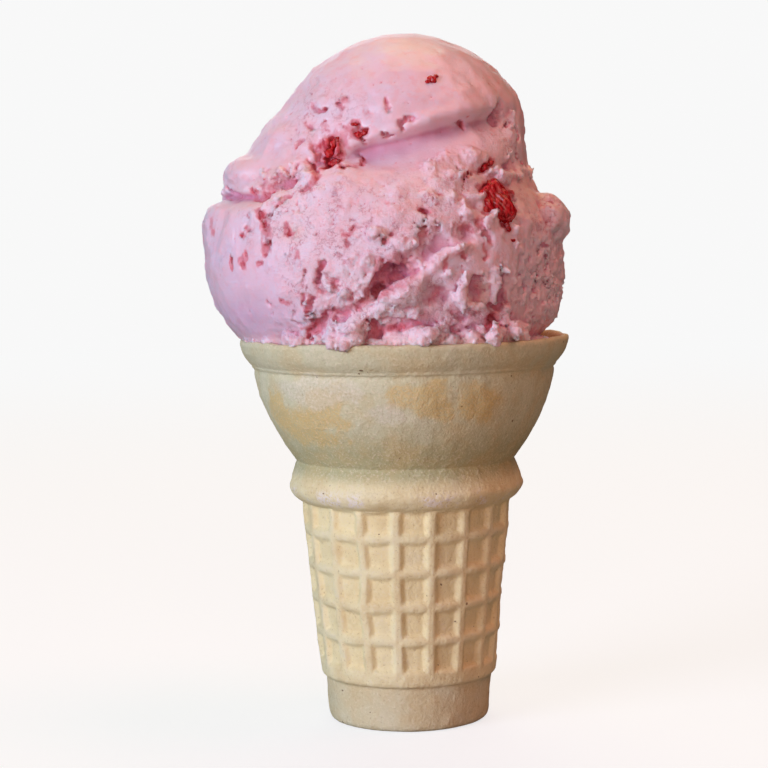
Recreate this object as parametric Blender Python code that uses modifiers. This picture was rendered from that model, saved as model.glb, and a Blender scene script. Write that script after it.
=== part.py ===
"""A flat-bottomed wafer cup cone heaped with one hand-scooped portion of strawberry ice cream.

Three solids make it up: the thin-walled moulded wafer cup, which stands on its flat foot, the one
mass of ice cream that fills the cup and heaps over its rim, and the one large piece of strawberry
that lies bedded in its front. Sizes are in millimetres and are turned into metres by MM. +Z is up,
-Y is the front, and the origin is the centre of the foot's underside.
"""

import math

import bmesh
import bpy
import numpy as np
from mathutils import Matrix, Vector, noise

MM = 0.001

# Wafer cup: heights and radii of its outer side, from the foot to the rim.
FOOT_RADIUS = 16.9
FOOT_EDGE_ROUND = 1.4
FOOT_TOP_RADIUS = 17.3
FOOT_TOP_HEIGHT = 9.0
GRID_BOTTOM_RADIUS = 18.5
GRID_BOTTOM_HEIGHT = 10.9
GRID_TOP_RADIUS = 22.1
GRID_TOP_HEIGHT = 46.6
COLLAR_RADIUS = 24.7
COLLAR_HEIGHT = 49.8
COLLAR_ROUND = (1.1, 1.6)
NECK_RADIUS = 23.0
NECK_HEIGHT = 55.0
BOWL_RADIUS = 31.4
BOWL_TOP_HEIGHT = 74.3
BOWL_FULLNESS = 1.64
BAND_TOP_RADIUS = 34.2
BAND_TOP_HEIGHT = 79.6
BAND_FULLNESS = 1.4
LIP_RADIUS = 34.6
LIP_ROUND = 0.6
CUP_HEIGHT = 81.0

# Its inside follows the outer side at about the wall's thickness and opens out to the mouth.
WALL = 1.9
FLOOR = 2.0
MOUTH_RADIUS = 32.4
MOUTH_HEIGHT = 80.2

# Waffle grid pressed into the grip: five rows of square cells, each standing on a level rib. The
# top row runs up to the collar and has no rib of its own above it.
CELLS_AROUND = 18
CELL_ROWS = 5
LOWEST_RIB_HEIGHT = 12.2
RIB_SPACING = 7.15
STEPS_PER_CELL = 2
STEPS_AROUND = CELLS_AROUND * STEPS_PER_CELL
RIB_PHASE_DEG = -5.9
RIB_LAND = 0.5
RIB_FLANK = 1.2
CELL_DEPTH = 0.95

# Ice cream: the lobes of one scoop, each a centre and the half-axes of an ellipsoid.
LOWER_LOBE = ((-3.9, 0.0, 98.0), (37.9, 37.0, 29.0))
BASE_LOBE = ((1.5, 0.0, 88.0), (31.5, 32.5, 14.0))
LEFT_BULGE = ((-28.5, -2.0, 104.3), (13.0, 16.0, 9.5))
UPPER_LOBE = ((0.7, 0.5, 115.6), (28.2, 27.5, 28.4))
SHOULDER_LOBE = ((-14.0, -1.0, 114.0), (19.2, 21.0, 17.0))
LEFT_LIP = ((-26.0, -4.0, 114.8), (11.0, 13.0, 4.8))
SIDE_LUMP = ((28.2, -8.0, 104.8), (6.1, 7.0, 6.6))
LOBE_BLEND = 2.0

# The crease where the top roll lies on the lower one runs round the scoop in a tilted plane.
FOLD_HEIGHT = 120.6
FOLD_SLOPE = 0.24
FOLD_DEPTH = 1.3
FOLD_WIDTH = 1.9

# Dents: centre, half-widths and depth of the torn hollow, the groove and the flattened side.
TORN_HOLLOW = ((-2.5, -36.0, 93.0), (5.0, 8.0, 4.0), 3.0)
SPOON_GROOVE = ((11.0, -34.0, 101.0), (9.0, 9.0, 3.5), 1.6)
FLAT_SIDE = ((29.0, 0.0, 119.0), (8.0, 30.0, 8.0), 3.0)

# The bedded piece of strawberry: its place, its half-axes and how uneven its skin is.
FRUIT_CENTRE = (18.6, -25.6, 107.6)
FRUIT_HALF_AXES = (3.8, 3.4, 4.8)
FRUIT_LEAN_DEG = -12.0
FRUIT_UNEVENNESS = 0.5
FRUIT_LUMP_SIZE = 3.0
FRUIT_SUBDIVISIONS = 3
FRUIT_COLOUR = (0.45, 0.02, 0.04, 1.0)

LUMP_HEIGHT = 0.9
LUMP_SIZE = 9.0
SPHERE_CENTRE = (-3.0, 0.0, 103.0)
SPHERE_SUBDIVISIONS = 5
SEARCH_RANGE = (5.0, 60.0)
SEARCH_STEPS = 18
LEVEL_IN_CUP = 76.5
GAP = 0.3
ROOM_RADIUS = 60.0
ROOM_BASE = -10.0

WAFER_COLOUR = (0.76, 0.62, 0.42, 1.0)
ICE_CREAM_COLOUR = (0.84, 0.52, 0.60, 1.0)


def clear_scene():
    for old in list(bpy.data.objects):
        bpy.data.objects.remove(old, do_unlink=True)


def new_collection(name):
    collection = bpy.data.collections.new(name)
    bpy.context.scene.collection.children.link(collection)
    return collection


def new_object(name, sheet, collection):
    """Puts a bmesh into a new object and frees it."""
    mesh = bpy.data.meshes.new(name)
    sheet.to_mesh(mesh)
    sheet.free()
    made = bpy.data.objects.new(name, mesh)
    collection.objects.link(made)
    return made


def food_material(name, colour, roughness):
    material = bpy.data.materials.new(name)
    material.use_nodes = True
    shader = material.node_tree.nodes["Principled BSDF"]
    shader.inputs["Base Color"].default_value = colour
    shader.inputs["Roughness"].default_value = roughness
    shader.inputs["Metallic"].default_value = 0.0
    return material


def arc(centre, radii, start_deg, end_deg, count):
    """Points (radius, height) on an ellipse's arc, both ends included."""
    angles = np.radians(np.linspace(start_deg, end_deg, count))
    return [
        (centre[0] + radii[0] * math.cos(a), centre[1] + radii[1] * math.sin(a))
        for a in angles
    ]


def bowl_radius(height):
    """The bowl swells from the neck to the band, steep at the top and curling in below."""
    drop = (BOWL_TOP_HEIGHT - height) / (BOWL_TOP_HEIGHT - NECK_HEIGHT)
    return NECK_RADIUS + (BOWL_RADIUS - NECK_RADIUS) * (1.0 - drop**BOWL_FULLNESS)


def grid_radius(height):
    """The grip's outer radius, along the tops of the ribs."""
    share = (height - GRID_BOTTOM_HEIGHT) / (GRID_TOP_HEIGHT - GRID_BOTTOM_HEIGHT)
    return GRID_BOTTOM_RADIUS + (GRID_TOP_RADIUS - GRID_BOTTOM_RADIUS) * share


def grid_heights():
    """The cells' upper edge at the collar, then the level ribs' centre lines going down."""
    ribs = LOWEST_RIB_HEIGHT + RIB_SPACING * np.arange(CELL_ROWS)[::-1]
    return np.concatenate([[GRID_TOP_HEIGHT], ribs])


def rim_band():
    """The rounded lip and, below it, the soft roll that narrows to the crease above the bowl."""
    middle = (LIP_RADIUS - LIP_ROUND, CUP_HEIGHT - LIP_ROUND)
    lip = arc(middle, (LIP_ROUND, LIP_ROUND), 90, 0, 2)
    widening = BAND_TOP_RADIUS - BOWL_RADIUS
    rise = BAND_TOP_HEIGHT - BOWL_TOP_HEIGHT
    roll = [
        (
            BOWL_RADIUS + widening * (1.0 - (1.0 - share) ** BAND_FULLNESS),
            BOWL_TOP_HEIGHT + rise * share,
        )
        for share in (1.0, 0.5)
    ]
    return lip + roll


def collar():
    """The rounded shelf above the grip, with its tuck in to the top of the grid."""
    middle = (COLLAR_RADIUS - COLLAR_ROUND[0], COLLAR_HEIGHT)
    return arc(middle, COLLAR_ROUND, 20, -60, 3)


def foot():
    """The plain foot below the grid, down to the centre of its flat underside."""
    middle = (FOOT_RADIUS - FOOT_EDGE_ROUND, FOOT_EDGE_ROUND)
    edge = arc(middle, (FOOT_EDGE_ROUND, FOOT_EDGE_ROUND), 0, -90, 2)
    return [(FOOT_TOP_RADIUS, FOOT_TOP_HEIGHT)] + edge + [(0.0, 0.0)]


def outer_profile():
    """The cup's outer side from the rim down to the centre of the foot."""
    bowl = [(bowl_radius(z), z) for z in np.linspace(BOWL_TOP_HEIGHT, NECK_HEIGHT, 5)]
    grip = [(grid_radius(z), z) for z in (*grid_heights(), GRID_BOTTOM_HEIGHT)]
    return rim_band() + bowl + collar() + grip + foot()


def inner_profile(clearance):
    """The cup's inside, from the centre of its floor to the mouth, moved in by the clearance."""
    inset = WALL + clearance
    grip = [
        (0.0, FLOOR + clearance),
        (FOOT_RADIUS - inset, FLOOR + clearance),
        (GRID_TOP_RADIUS - inset, GRID_TOP_HEIGHT),
        (NECK_RADIUS - inset, NECK_HEIGHT),
    ]
    heights = np.linspace(NECK_HEIGHT, BOWL_TOP_HEIGHT, 3)[1:]
    bowl = [(bowl_radius(z) - inset, z) for z in heights]
    return grip + bowl + [(MOUTH_RADIUS - clearance, MOUTH_HEIGHT)]


def turned(name, profile, collection):
    """A solid of revolution: the profile, in millimetres, spun about Z by a Screw modifier."""
    mesh = bpy.data.meshes.new(name)
    points = [(r * MM, 0.0, z * MM) for r, z in profile]
    edges = [(i, i + 1) for i in range(len(points) - 1)]
    mesh.from_pydata(points, edges, [])
    guide = bpy.data.objects.new(name, mesh)
    collection.objects.link(guide)
    screw = guide.modifiers.new("Turn", "SCREW")
    screw.axis = "Z"
    screw.steps = STEPS_AROUND
    screw.render_steps = STEPS_AROUND
    screw.use_merge_vertices = True
    screw.merge_threshold = 0.00001
    bpy.context.view_layer.update()
    evaluated = guide.evaluated_get(bpy.context.evaluated_depsgraph_get())
    guide.data = bpy.data.meshes.new_from_object(evaluated)
    guide.modifiers.clear()
    guide.rotation_euler.z = math.radians(RIB_PHASE_DEG)
    return guide


def waffle_cells(sheet):
    """The faces of the grip's outer side, grouped by the cell that each belongs to."""
    heights = grid_heights()
    cells = {}
    for face in sheet.faces:
        middle = face.calc_center_median() / MM
        on_grip = heights[-1] < middle.z < heights[0]
        outside = math.hypot(middle.x, middle.y) > grid_radius(middle.z) - 0.5 * WALL
        if on_grip and outside:
            row = int((middle.z < heights).sum())
            turn = (math.atan2(middle.y, middle.x) / (2.0 * math.pi)) % 1.0
            cells.setdefault((row, int(turn * CELLS_AROUND)), []).append(face)
    return cells.values()


def press_waffle_cells(cup):
    """Sinks every cell of the grip: a narrow land for the rib, then a sloping flank."""
    sheet = bmesh.new()
    sheet.from_mesh(cup.data)
    for faces in waffle_cells(sheet):
        bmesh.ops.inset_region(
            sheet, faces=faces, thickness=RIB_LAND * MM, use_even_offset=True
        )
        bmesh.ops.inset_region(
            sheet,
            faces=faces,
            thickness=RIB_FLANK * MM,
            depth=-CELL_DEPTH * MM,
            use_even_offset=True,
        )
    sheet.to_mesh(cup.data)
    sheet.free()


def wafer_cup(collection):
    cup = turned("wafer_cup", inner_profile(0.0) + outer_profile(), collection)
    press_waffle_cells(cup)
    cup.data.shade_smooth()
    cup.data.set_sharp_from_angle(angle=math.radians(35))
    cup.data.materials.append(food_material("baked_wafer", WAFER_COLOUR, 0.75))


def lobe_distance(points, lobe):
    """Rough signed distance in millimetres from an ellipsoid's surface, negative inside."""
    centre, half_axes = (np.array(v) for v in lobe)
    scaled = np.linalg.norm((points - centre) / half_axes, axis=1)
    return (scaled - 1.0) * half_axes.min()


def blended(a, b, width):
    """The smaller of two distances, with a fillet of about this width where they meet."""
    share = np.clip(0.5 + 0.5 * (b - a) / width, 0.0, 1.0)
    return b * (1.0 - share) + a * share - width * share * (1.0 - share)


def fold_cut(points):
    """How far the crease between the two rolls cuts in, all round the scoop."""
    above = points[:, 2] - FOLD_HEIGHT - FOLD_SLOPE * points[:, 0]
    return FOLD_DEPTH * np.exp(-((above / FOLD_WIDTH) ** 2))


def dent_cut(points, dent):
    """How far a soft-sided dent cuts in."""
    centre, half_widths, depth = dent
    near = ((points - np.array(centre)) / np.array(half_widths)) ** 2
    return depth * np.exp(-near.sum(axis=1))


def scoop_distance(points):
    """Signed distance from the scoop's skin: the blended lobes, less the fold and the dents."""
    skin = lobe_distance(points, LOWER_LOBE)
    for lobe in (BASE_LOBE, LEFT_BULGE, UPPER_LOBE, SHOULDER_LOBE, LEFT_LIP, SIDE_LUMP):
        skin = blended(skin, lobe_distance(points, lobe), LOBE_BLEND)
    skin = skin + fold_cut(points)
    for dent in (TORN_HOLLOW, SPOON_GROOVE, FLAT_SIDE):
        skin = skin + dent_cut(points, dent)
    return skin


def skin_radii(directions):
    """How far the skin lies from the sphere's centre in each direction, by bisection."""
    near = np.full(len(directions), SEARCH_RANGE[0])
    far = np.full(len(directions), SEARCH_RANGE[1])
    for _ in range(SEARCH_STEPS):
        middle = 0.5 * (near + far)
        outside = scoop_distance(np.array(SPHERE_CENTRE) + directions * middle[:, None]) > 0.0
        far = np.where(outside, middle, far)
        near = np.where(outside, near, middle)
    return 0.5 * (near + far)


def heap(collection):
    """The heap above the rim: an icosphere whose points are pushed out to the lumpy skin."""
    sheet = bmesh.new()
    bmesh.ops.create_icosphere(sheet, subdivisions=SPHERE_SUBDIVISIONS, radius=1.0)
    directions = np.array([v.co.normalized() for v in sheet.verts])
    for vert, radius in zip(sheet.verts, skin_radii(directions)):
        outward = vert.co.normalized()
        point = Vector(SPHERE_CENTRE) + outward * float(radius)
        lump = LUMP_HEIGHT * noise.fractal(point / LUMP_SIZE, 0.9, 2.1, 3)
        vert.co = (point + outward * lump) * MM
    return new_object("ice_cream", sheet, collection)


def filling(collection):
    """The ice cream pressed down into the cup: an oversized plug that the cup's room trims."""
    sheet = bmesh.new()
    bmesh.ops.create_cone(
        sheet,
        cap_ends=True,
        segments=STEPS_AROUND,
        radius1=GRID_BOTTOM_RADIUS * MM,
        radius2=LIP_RADIUS * MM,
        depth=LEVEL_IN_CUP * MM,
    )
    bmesh.ops.translate(sheet, verts=sheet.verts, vec=(0.0, 0.0, 0.5 * LEVEL_IN_CUP * MM))
    return new_object("filling", sheet, collection)


def cup_room(collection):
    """The space of the cup's wall and all that lies outside it, grown inward by the gap."""
    top = CUP_HEIGHT + GAP
    inside = inner_profile(GAP) + [(MOUTH_RADIUS - GAP, top)]
    outside = [(ROOM_RADIUS, top), (ROOM_RADIUS, ROOM_BASE), (0.0, ROOM_BASE)]
    return turned("cup_room", inside + outside, collection)


def strawberry_piece(collection, name, growth):
    """The bedded fruit: a leaning, uneven egg. Grown by the gap, it is its own bed's cutter."""
    sheet = bmesh.new()
    bmesh.ops.create_icosphere(sheet, subdivisions=FRUIT_SUBDIVISIONS, radius=1.0)
    half_axes = np.array(FRUIT_HALF_AXES)
    lean = Matrix.Rotation(math.radians(FRUIT_LEAN_DEG), 3, "Y")
    for vert in sheet.verts:
        way = np.array(vert.co.normalized())
        lump = FRUIT_UNEVENNESS * noise.noise(Vector(way * half_axes) / FRUIT_LUMP_SIZE)
        point = Vector(way * (half_axes + growth + lump))
        vert.co = (Vector(FRUIT_CENTRE) + lean @ point) * MM
    return new_object(name, sheet, collection)


def combine(target, other, operation):
    boolean = target.modifiers.new(operation.title(), "BOOLEAN")
    boolean.operation = operation
    boolean.object = other
    other.hide_render = True
    other.display_type = "WIRE"


def ice_cream(collection, helpers):
    scoop = heap(collection)
    combine(scoop, filling(helpers), "UNION")
    combine(scoop, cup_room(helpers), "DIFFERENCE")
    combine(scoop, strawberry_piece(helpers, "fruit_bed", GAP), "DIFFERENCE")
    scoop.data.shade_smooth()
    scoop.data.materials.append(food_material("ice_cream", ICE_CREAM_COLOUR, 0.5))


clear_scene()
parts = new_collection("ice_cream_cone")
cutters = new_collection("cutters")
wafer_cup(parts)
ice_cream(parts, cutters)
fruit = strawberry_piece(parts, "strawberry_piece", 0.0)
fruit.data.shade_smooth()
fruit.data.materials.append(food_material("strawberry", FRUIT_COLOUR, 0.3))
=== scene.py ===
import math

import bmesh
import bpy
import numpy as np
from mathutils import Euler, Matrix, Vector, noise


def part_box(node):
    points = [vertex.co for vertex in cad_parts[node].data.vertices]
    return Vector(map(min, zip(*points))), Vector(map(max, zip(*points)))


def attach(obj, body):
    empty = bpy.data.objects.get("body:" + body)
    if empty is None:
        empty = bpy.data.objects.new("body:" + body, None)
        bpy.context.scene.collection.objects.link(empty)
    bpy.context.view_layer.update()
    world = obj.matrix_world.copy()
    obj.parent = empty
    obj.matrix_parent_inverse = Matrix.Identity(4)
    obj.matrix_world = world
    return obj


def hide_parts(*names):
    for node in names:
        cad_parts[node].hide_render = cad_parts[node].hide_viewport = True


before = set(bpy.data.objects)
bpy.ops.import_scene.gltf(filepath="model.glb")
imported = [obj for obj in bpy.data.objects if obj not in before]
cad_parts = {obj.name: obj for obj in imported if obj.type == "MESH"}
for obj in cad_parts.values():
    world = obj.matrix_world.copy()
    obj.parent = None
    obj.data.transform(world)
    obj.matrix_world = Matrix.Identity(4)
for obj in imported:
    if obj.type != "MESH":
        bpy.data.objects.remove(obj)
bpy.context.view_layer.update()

# ---------------------------------------------------------------------------
# The wafer cup. A thin crisp shell of batter, baked in one go between hot iron
# dies: rolled rim, round bowl, collar, waffle-grid grip and a plain flat foot.
# The dies leave soft rounded ribs and a sandy skin that browns in blotches.
# ---------------------------------------------------------------------------
MM = 0.001
cup_low, cup_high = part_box("wafer_cup")
CUP_TOP = cup_high[2] / MM
RIM_RADIUS = (cup_high[0] - cup_low[0]) / 2 / MM + 0.05
CUP_COLUMNS = 480
FIRST_OUTER_ROW = 16
ROWS_UP_TO_LIP = 25
CREASE_RADIUS, CREASE_HEIGHT = 31.4, 73.8
NECK_RADIUS, NECK_HEIGHT = 23.2, 55.6
BOWL_ROWS = 34
BOWL_FULLNESS = 1.62
GRIP_LOW_RADIUS, GRIP_HIGH_RADIUS = 18.55, 22.0
GRIP_LOW, GRIP_RISE = 10.8, 34.9
RIB_PHASE = math.radians(-95.9)
RIBS_AROUND = 18
LOWEST_RIB = 12.2
RIB_HEIGHTS = LOWEST_RIB + 7.15 * np.arange(5)
RIB_HALF_WIDTH = 0.45
RIB_FLANK = 1.3
CELL_DEPTH = 0.95


def soft_step(value, start, end):
    """0 up to the start, 1 from the end, and a smooth rise between them."""
    share = np.clip((value - start) / (end - start), 0.0, 1.0)
    return share * share * (3.0 - 2.0 * share)


def squared_pitch(counts, spacing):
    """Waves to a millimetre, squared, for each wave in the Fourier transform of a grid."""
    steps = [np.fft.fftfreq(n, spacing) for n in counts[:-1]] + [np.fft.rfftfreq(counts[-1], spacing)]
    return sum(a * a for a in np.meshgrid(*steps, indexing="ij", sparse=True))


def cloud(counts, spacing, smallest, largest, slope, seed):
    """Smooth random field on a grid, mean 0 and deviation 1, with lumps between two sizes."""
    white = np.random.default_rng(seed).standard_normal(counts).astype(np.float32)
    waves = np.fft.rfftn(white)
    pitch = np.sqrt(squared_pitch(counts, spacing))
    keep = np.exp(-((pitch * smallest) ** 2)) * (1.0 - np.exp(-((pitch * largest) ** 2)))
    waves *= keep * np.maximum(pitch, 1e-6) ** (-slope)
    field = np.fft.irfftn(waves, counts)
    return (field / field.std()).astype(np.float32)


def sample(field, origin, spacing, points):
    """Reads a grid at any points, blending its eight nearest values; the grid repeats."""
    place = (points - origin) / spacing
    first = np.floor(place).astype(np.int64)
    share = (place - first).astype(np.float32)
    total = np.zeros(len(points), np.float32)
    for corner in range(8):
        offset = np.array([corner & 1, corner >> 1 & 1, corner >> 2 & 1])
        index = (first + offset) % field.shape
        weight = np.where(offset, share, 1.0 - share).prod(axis=1)
        total += weight * field[index[:, 0], index[:, 1], index[:, 2]]
    return total


def mesh_object(name, points, faces):
    """A smooth-shaded mesh object from points in millimetres."""
    mesh = bpy.data.meshes.new(name)
    mesh.from_pydata((np.asarray(points) * MM).tolist(), [], faces)
    mesh.shade_smooth()
    made = bpy.data.objects.new(name, mesh)
    bpy.context.scene.collection.objects.link(made)
    return made


def add_attribute(made, name, values):
    """Stores one value for each point of the mesh, for its material to read."""
    layer = made.data.attributes.new(name, "FLOAT", "POINT")
    layer.data.foreach_set("value", np.asarray(values, np.float32))


def bowed_rows(start, stretches):
    """Rows of the outline along stretches joined end to end: (end, row count, bow outward)."""
    rows = []
    for end, count, bow in stretches:
        share = np.linspace(0.0, 1.0, count, endpoint=False)
        straight = np.outer(1 - share, start) + np.outer(share, end)
        along = np.subtract(end, start)
        normal = np.array([-along[1], along[0]]) / np.hypot(*along)
        rows.append(straight + np.outer(np.sin(math.pi * share) * bow, normal))
        start = end
    return np.concatenate(rows)


def cup_outline():
    """The wall's cross-section as (radius, height): up the inside, over the lip and down."""
    lip = RIM_RADIUS
    inside = [(0.01, 2.0), (14.2, 2.0), (15.5, 9.0), (20.1, 45.6), (21.1, 55.0)]
    inside += [(25.5, 62.0), (28.4, 68.0), (29.5, 72.5)]
    rim = [
        ((lip - 2.1, 80.2), 8, -0.15),
        ((lip - 0.9, CUP_TOP), 5, 0.2),
        ((lip, 80.0), 6, 0.35),
        ((32.0, 75.4), 14, 0.45),
        ((31.5, 74.7), 5, 0.12),
        ((CREASE_RADIUS, CREASE_HEIGHT), 4, -0.1),
    ]
    drop = np.linspace(0.0, 1.0, BOWL_ROWS, endpoint=False)
    bowl_radius = NECK_RADIUS + (CREASE_RADIUS - NECK_RADIUS) * (1.0 - drop**BOWL_FULLNESS)
    bowl = np.column_stack([bowl_radius, CREASE_HEIGHT - drop * (CREASE_HEIGHT - NECK_HEIGHT)])
    below = [
        ((23.1, 54.7), 4, -0.25),
        ((24.35, 50.9), 9, 0.12),
        ((24.3, 48.6), 9, 0.36),
        ((22.2, 46.7), 9, 0.2),
        ((22.05, 46.3), 3, -0.08),
        ((GRIP_LOW_RADIUS, GRIP_LOW), 78, 0.0),
        ((17.45, 9.4), 7, 0.32),
        ((16.95, 1.5), 14, 0.05),
        ((15.5, 0.0), 9, 0.42),
        ((0.01, 0.0), 5, 0.0),
    ]
    rim_rows = bowed_rows((30.0, 75.0), rim)
    return np.concatenate([inside, rim_rows, bowl, bowed_rows((NECK_RADIUS, NECK_HEIGHT), below)])


def waffle_relief(turn, height):
    """How deep the iron pressed the cell at each place of the grip, 0 on the ribs."""
    widening = GRIP_HIGH_RADIUS - GRIP_LOW_RADIUS
    radius = GRIP_LOW_RADIUS + widening * (height - GRIP_LOW) / GRIP_RISE
    pitch = 2.0 * math.pi / RIBS_AROUND
    from_rib = np.abs((turn - RIB_PHASE + pitch / 2) % pitch - pitch / 2) * radius
    from_ring = np.abs(height[..., None] - RIB_HEIGHTS).min(axis=-1)
    across = soft_step(from_rib, RIB_HALF_WIDTH, RIB_HALF_WIDTH + RIB_FLANK)
    down = soft_step(from_ring, RIB_HALF_WIDTH, RIB_HALF_WIDTH + RIB_FLANK * 0.9)
    on_grip = (height > LOWEST_RIB) * soft_step(-height, -46.6, -46.0)
    return np.minimum(across, down) * on_grip


outline = cup_outline()
turns = np.linspace(0.0, 2.0 * math.pi, CUP_COLUMNS, endpoint=False)
cup_height, cup_turn = np.meshgrid(outline[:, 1], turns, indexing="ij")
cup_radius = np.repeat(outline[:, :1], CUP_COLUMNS, axis=1)
outer_side = np.arange(len(outline))[:, None] >= FIRST_OUTER_ROW
CLOUD_STEP = 1.0
GRIT_STEP = 0.35
cup_cloud = cloud((96, 96, 96), CLOUD_STEP, 1.6, 26.0, 1.6, 11)
fine_cloud = cloud((128, 128, 128), GRIT_STEP, 0.5, 3.0, 0.4, 12)


def cup_points(radius):
    spot = (radius * np.cos(cup_turn), radius * np.sin(cup_turn), cup_height)
    return np.stack(spot, axis=-1).reshape(-1, 3)


plain = cup_points(cup_radius)
wobble = sample(cup_cloud, -48.0, CLOUD_STEP, plain).reshape(cup_radius.shape)
grit = sample(fine_cloud, 0.0, GRIT_STEP, plain).reshape(cup_radius.shape)
cells = waffle_relief(cup_turn + 0.004 * wobble, cup_height + 0.07 * wobble) * outer_side
near_axis = soft_step(cup_radius, 1.0, 8.0)
cup_radius = cup_radius - CELL_DEPTH * cells
cup_radius += (0.09 * wobble + 0.035 * grit) * near_axis * outer_side
cup_height = cup_height + 0.12 * wobble * (cup_height > 78.0)
points = cup_points(cup_radius)
rows, columns = cup_radius.shape
faces = []
for row in range(rows - 1):
    base = row * columns
    for column in range(columns):
        beside = (column + 1) % columns
        faces.append((base + columns + column, base + columns + beside, base + beside, base + column))
faces.append(tuple(range(columns)))
faces.append(tuple(range((rows - 1) * columns, rows * columns))[::-1])
cup = mesh_object("wafer_cup_baked", points, faces)

blotch = sample(cup_cloud, (20.0, -7.0, 13.0), CLOUD_STEP, plain)
speckle = sample(fine_cloud, (3.0, 5.0, 1.0), GRIT_STEP, plain)


def patches(centres):
    """1 inside any of the patches (place, half-width, half-height), with ragged edges."""
    nearest = np.full(len(plain), 9.0)
    for (x, y, z), width, height in centres:
        flat = np.hypot(plain[:, 0] - x, plain[:, 1] - y) / width
        nearest = np.minimum(nearest, np.hypot(flat, (plain[:, 2] - z) / height))
    return soft_step(nearest + 0.3 * blotch + 0.12 * speckle, 1.25, 0.8)


BROWNED = [
    ((-15, -25.5, 67.5), 3.6, 4.6),
    ((-20.5, -20, 63.5), 7, 3.8),
    ((-26, -15, 67), 4, 4),
    ((2, -30, 70.5), 7.5, 2.8),
    ((6, -29, 68), 5, 3.2),
    ((14, -26, 69), 5.5, 4),
    ((10, 27, 66), 9, 5),
    ((-16, 24, 69.5), 6, 3.5),
    ((27, 10, 63), 6, 5),
]
PALE = [
    ((-18, -24.5, 71.6), 8, 2.6),
    ((-9.6, -29.5, 72), 2.6, 2.6),
    ((-4, -29.5, 67), 4.5, 2.6),
    ((-20, 22, 64), 6, 4),
    ((22, 20, 71), 7, 3),
]
floury = soft_step(plain[:, 2], 46.6, 48.0) * soft_step(plain[:, 2], 51.5, 49.0)
floury *= soft_step(blotch + 0.5 * speckle, 0.0, 0.9)
wet = (1.0 - soft_step(np.hypot(plain[:, 0], plain[:, 1]), 32.9, 33.8)) * (plain[:, 2] > 74.0)
add_attribute(cup, "browned", patches(BROWNED))
add_attribute(cup, "pale", patches(PALE))
add_attribute(cup, "floury", floury)
add_attribute(cup, "pressed", cells.reshape(-1))
add_attribute(cup, "soaked", wet * (np.arange(len(plain)) < ROWS_UP_TO_LIP * columns))


def colour(red, green, blue):
    """A colour given as seen on a screen, 0 to 255, turned into the linear values nodes use."""
    seen = [c / 255.0 for c in (red, green, blue)]
    linear = [c / 12.92 if c <= 0.04045 else ((c + 0.055) / 1.055) ** 2.4 for c in seen]
    return (*linear, 1.0)


class Nodes:
    """Short calls for building one material's node tree, with a base colour tinted in layers."""

    def __init__(self, name, *shade):
        self.material = bpy.data.materials.new(name)
        self.material.use_nodes = True
        self.tree = self.material.node_tree
        self.shader = self.tree.nodes["Principled BSDF"]
        self.place = self.add("ShaderNodeTexCoord").outputs["Object"]
        self.height = self.add("ShaderNodeSeparateXYZ", {0: self.place}).outputs["Z"]
        self.base = colour(*shade)

    def put(self, socket, value):
        if isinstance(value, bpy.types.NodeSocket):
            self.tree.links.new(value, socket)
        else:
            socket.default_value = value

    def add(self, kind, inputs=None, **settings):
        node = self.tree.nodes.new(kind)
        for key, value in settings.items():
            setattr(node, key, value)
        for key, value in (inputs or {}).items():
            self.put(node.inputs[key], value)
        return node

    def attribute(self, name):
        return self.add("ShaderNodeAttribute", attribute_name=name).outputs["Fac"]

    def maths(self, operation, first, second=0.0, clamp=False):
        node = self.add("ShaderNodeMath", {0: first, 1: second}, operation=operation, use_clamp=clamp)
        return node.outputs[0]

    def times(self, first, second, clamp=False):
        return self.maths("MULTIPLY", first, second, clamp)

    def remap(self, value, low, high, to_low=0.0, to_high=1.0):
        ends = {"Value": value, "From Min": low, "From Max": high, "To Min": to_low, "To Max": to_high}
        return self.add("ShaderNodeMapRange", ends, interpolation_type="SMOOTHSTEP").outputs["Result"]

    def noise(self, size_mm, detail, roughness, place=None):
        look = {"Scale": 1.0 / (size_mm * MM), "Detail": detail, "Roughness": roughness}
        return self.add("ShaderNodeTexNoise", {"Vector": place or self.place, **look}).outputs["Fac"]

    def stretched(self, scale, turn):
        look = {"Vector": self.place, "Scale": scale, "Rotation": turn}
        return self.add("ShaderNodeMapping", look).outputs["Vector"]

    def mix(self, share, first, second):
        return self.add("ShaderNodeMix", {0: share, 6: first, 7: second}, data_type="RGBA").outputs[2]

    def tint(self, share, *shade):
        """Lays a colour over the base colour, as strongly as the share says."""
        self.base = self.mix(share, self.base, colour(*shade))

    def bump(self, height, distance_mm, strength, below=None):
        look = {"Strength": strength, "Distance": distance_mm * MM, "Height": height}
        node = self.add("ShaderNodeBump", look)
        if below is not None:
            self.put(node.inputs["Normal"], below)
        return node.outputs["Normal"]

    def surface(self, inputs):
        """Puts the base colour and these values on the shader."""
        for name, value in {"Base Color": self.base, **inputs}.items():
            self.put(self.shader.inputs[name], value)


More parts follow.
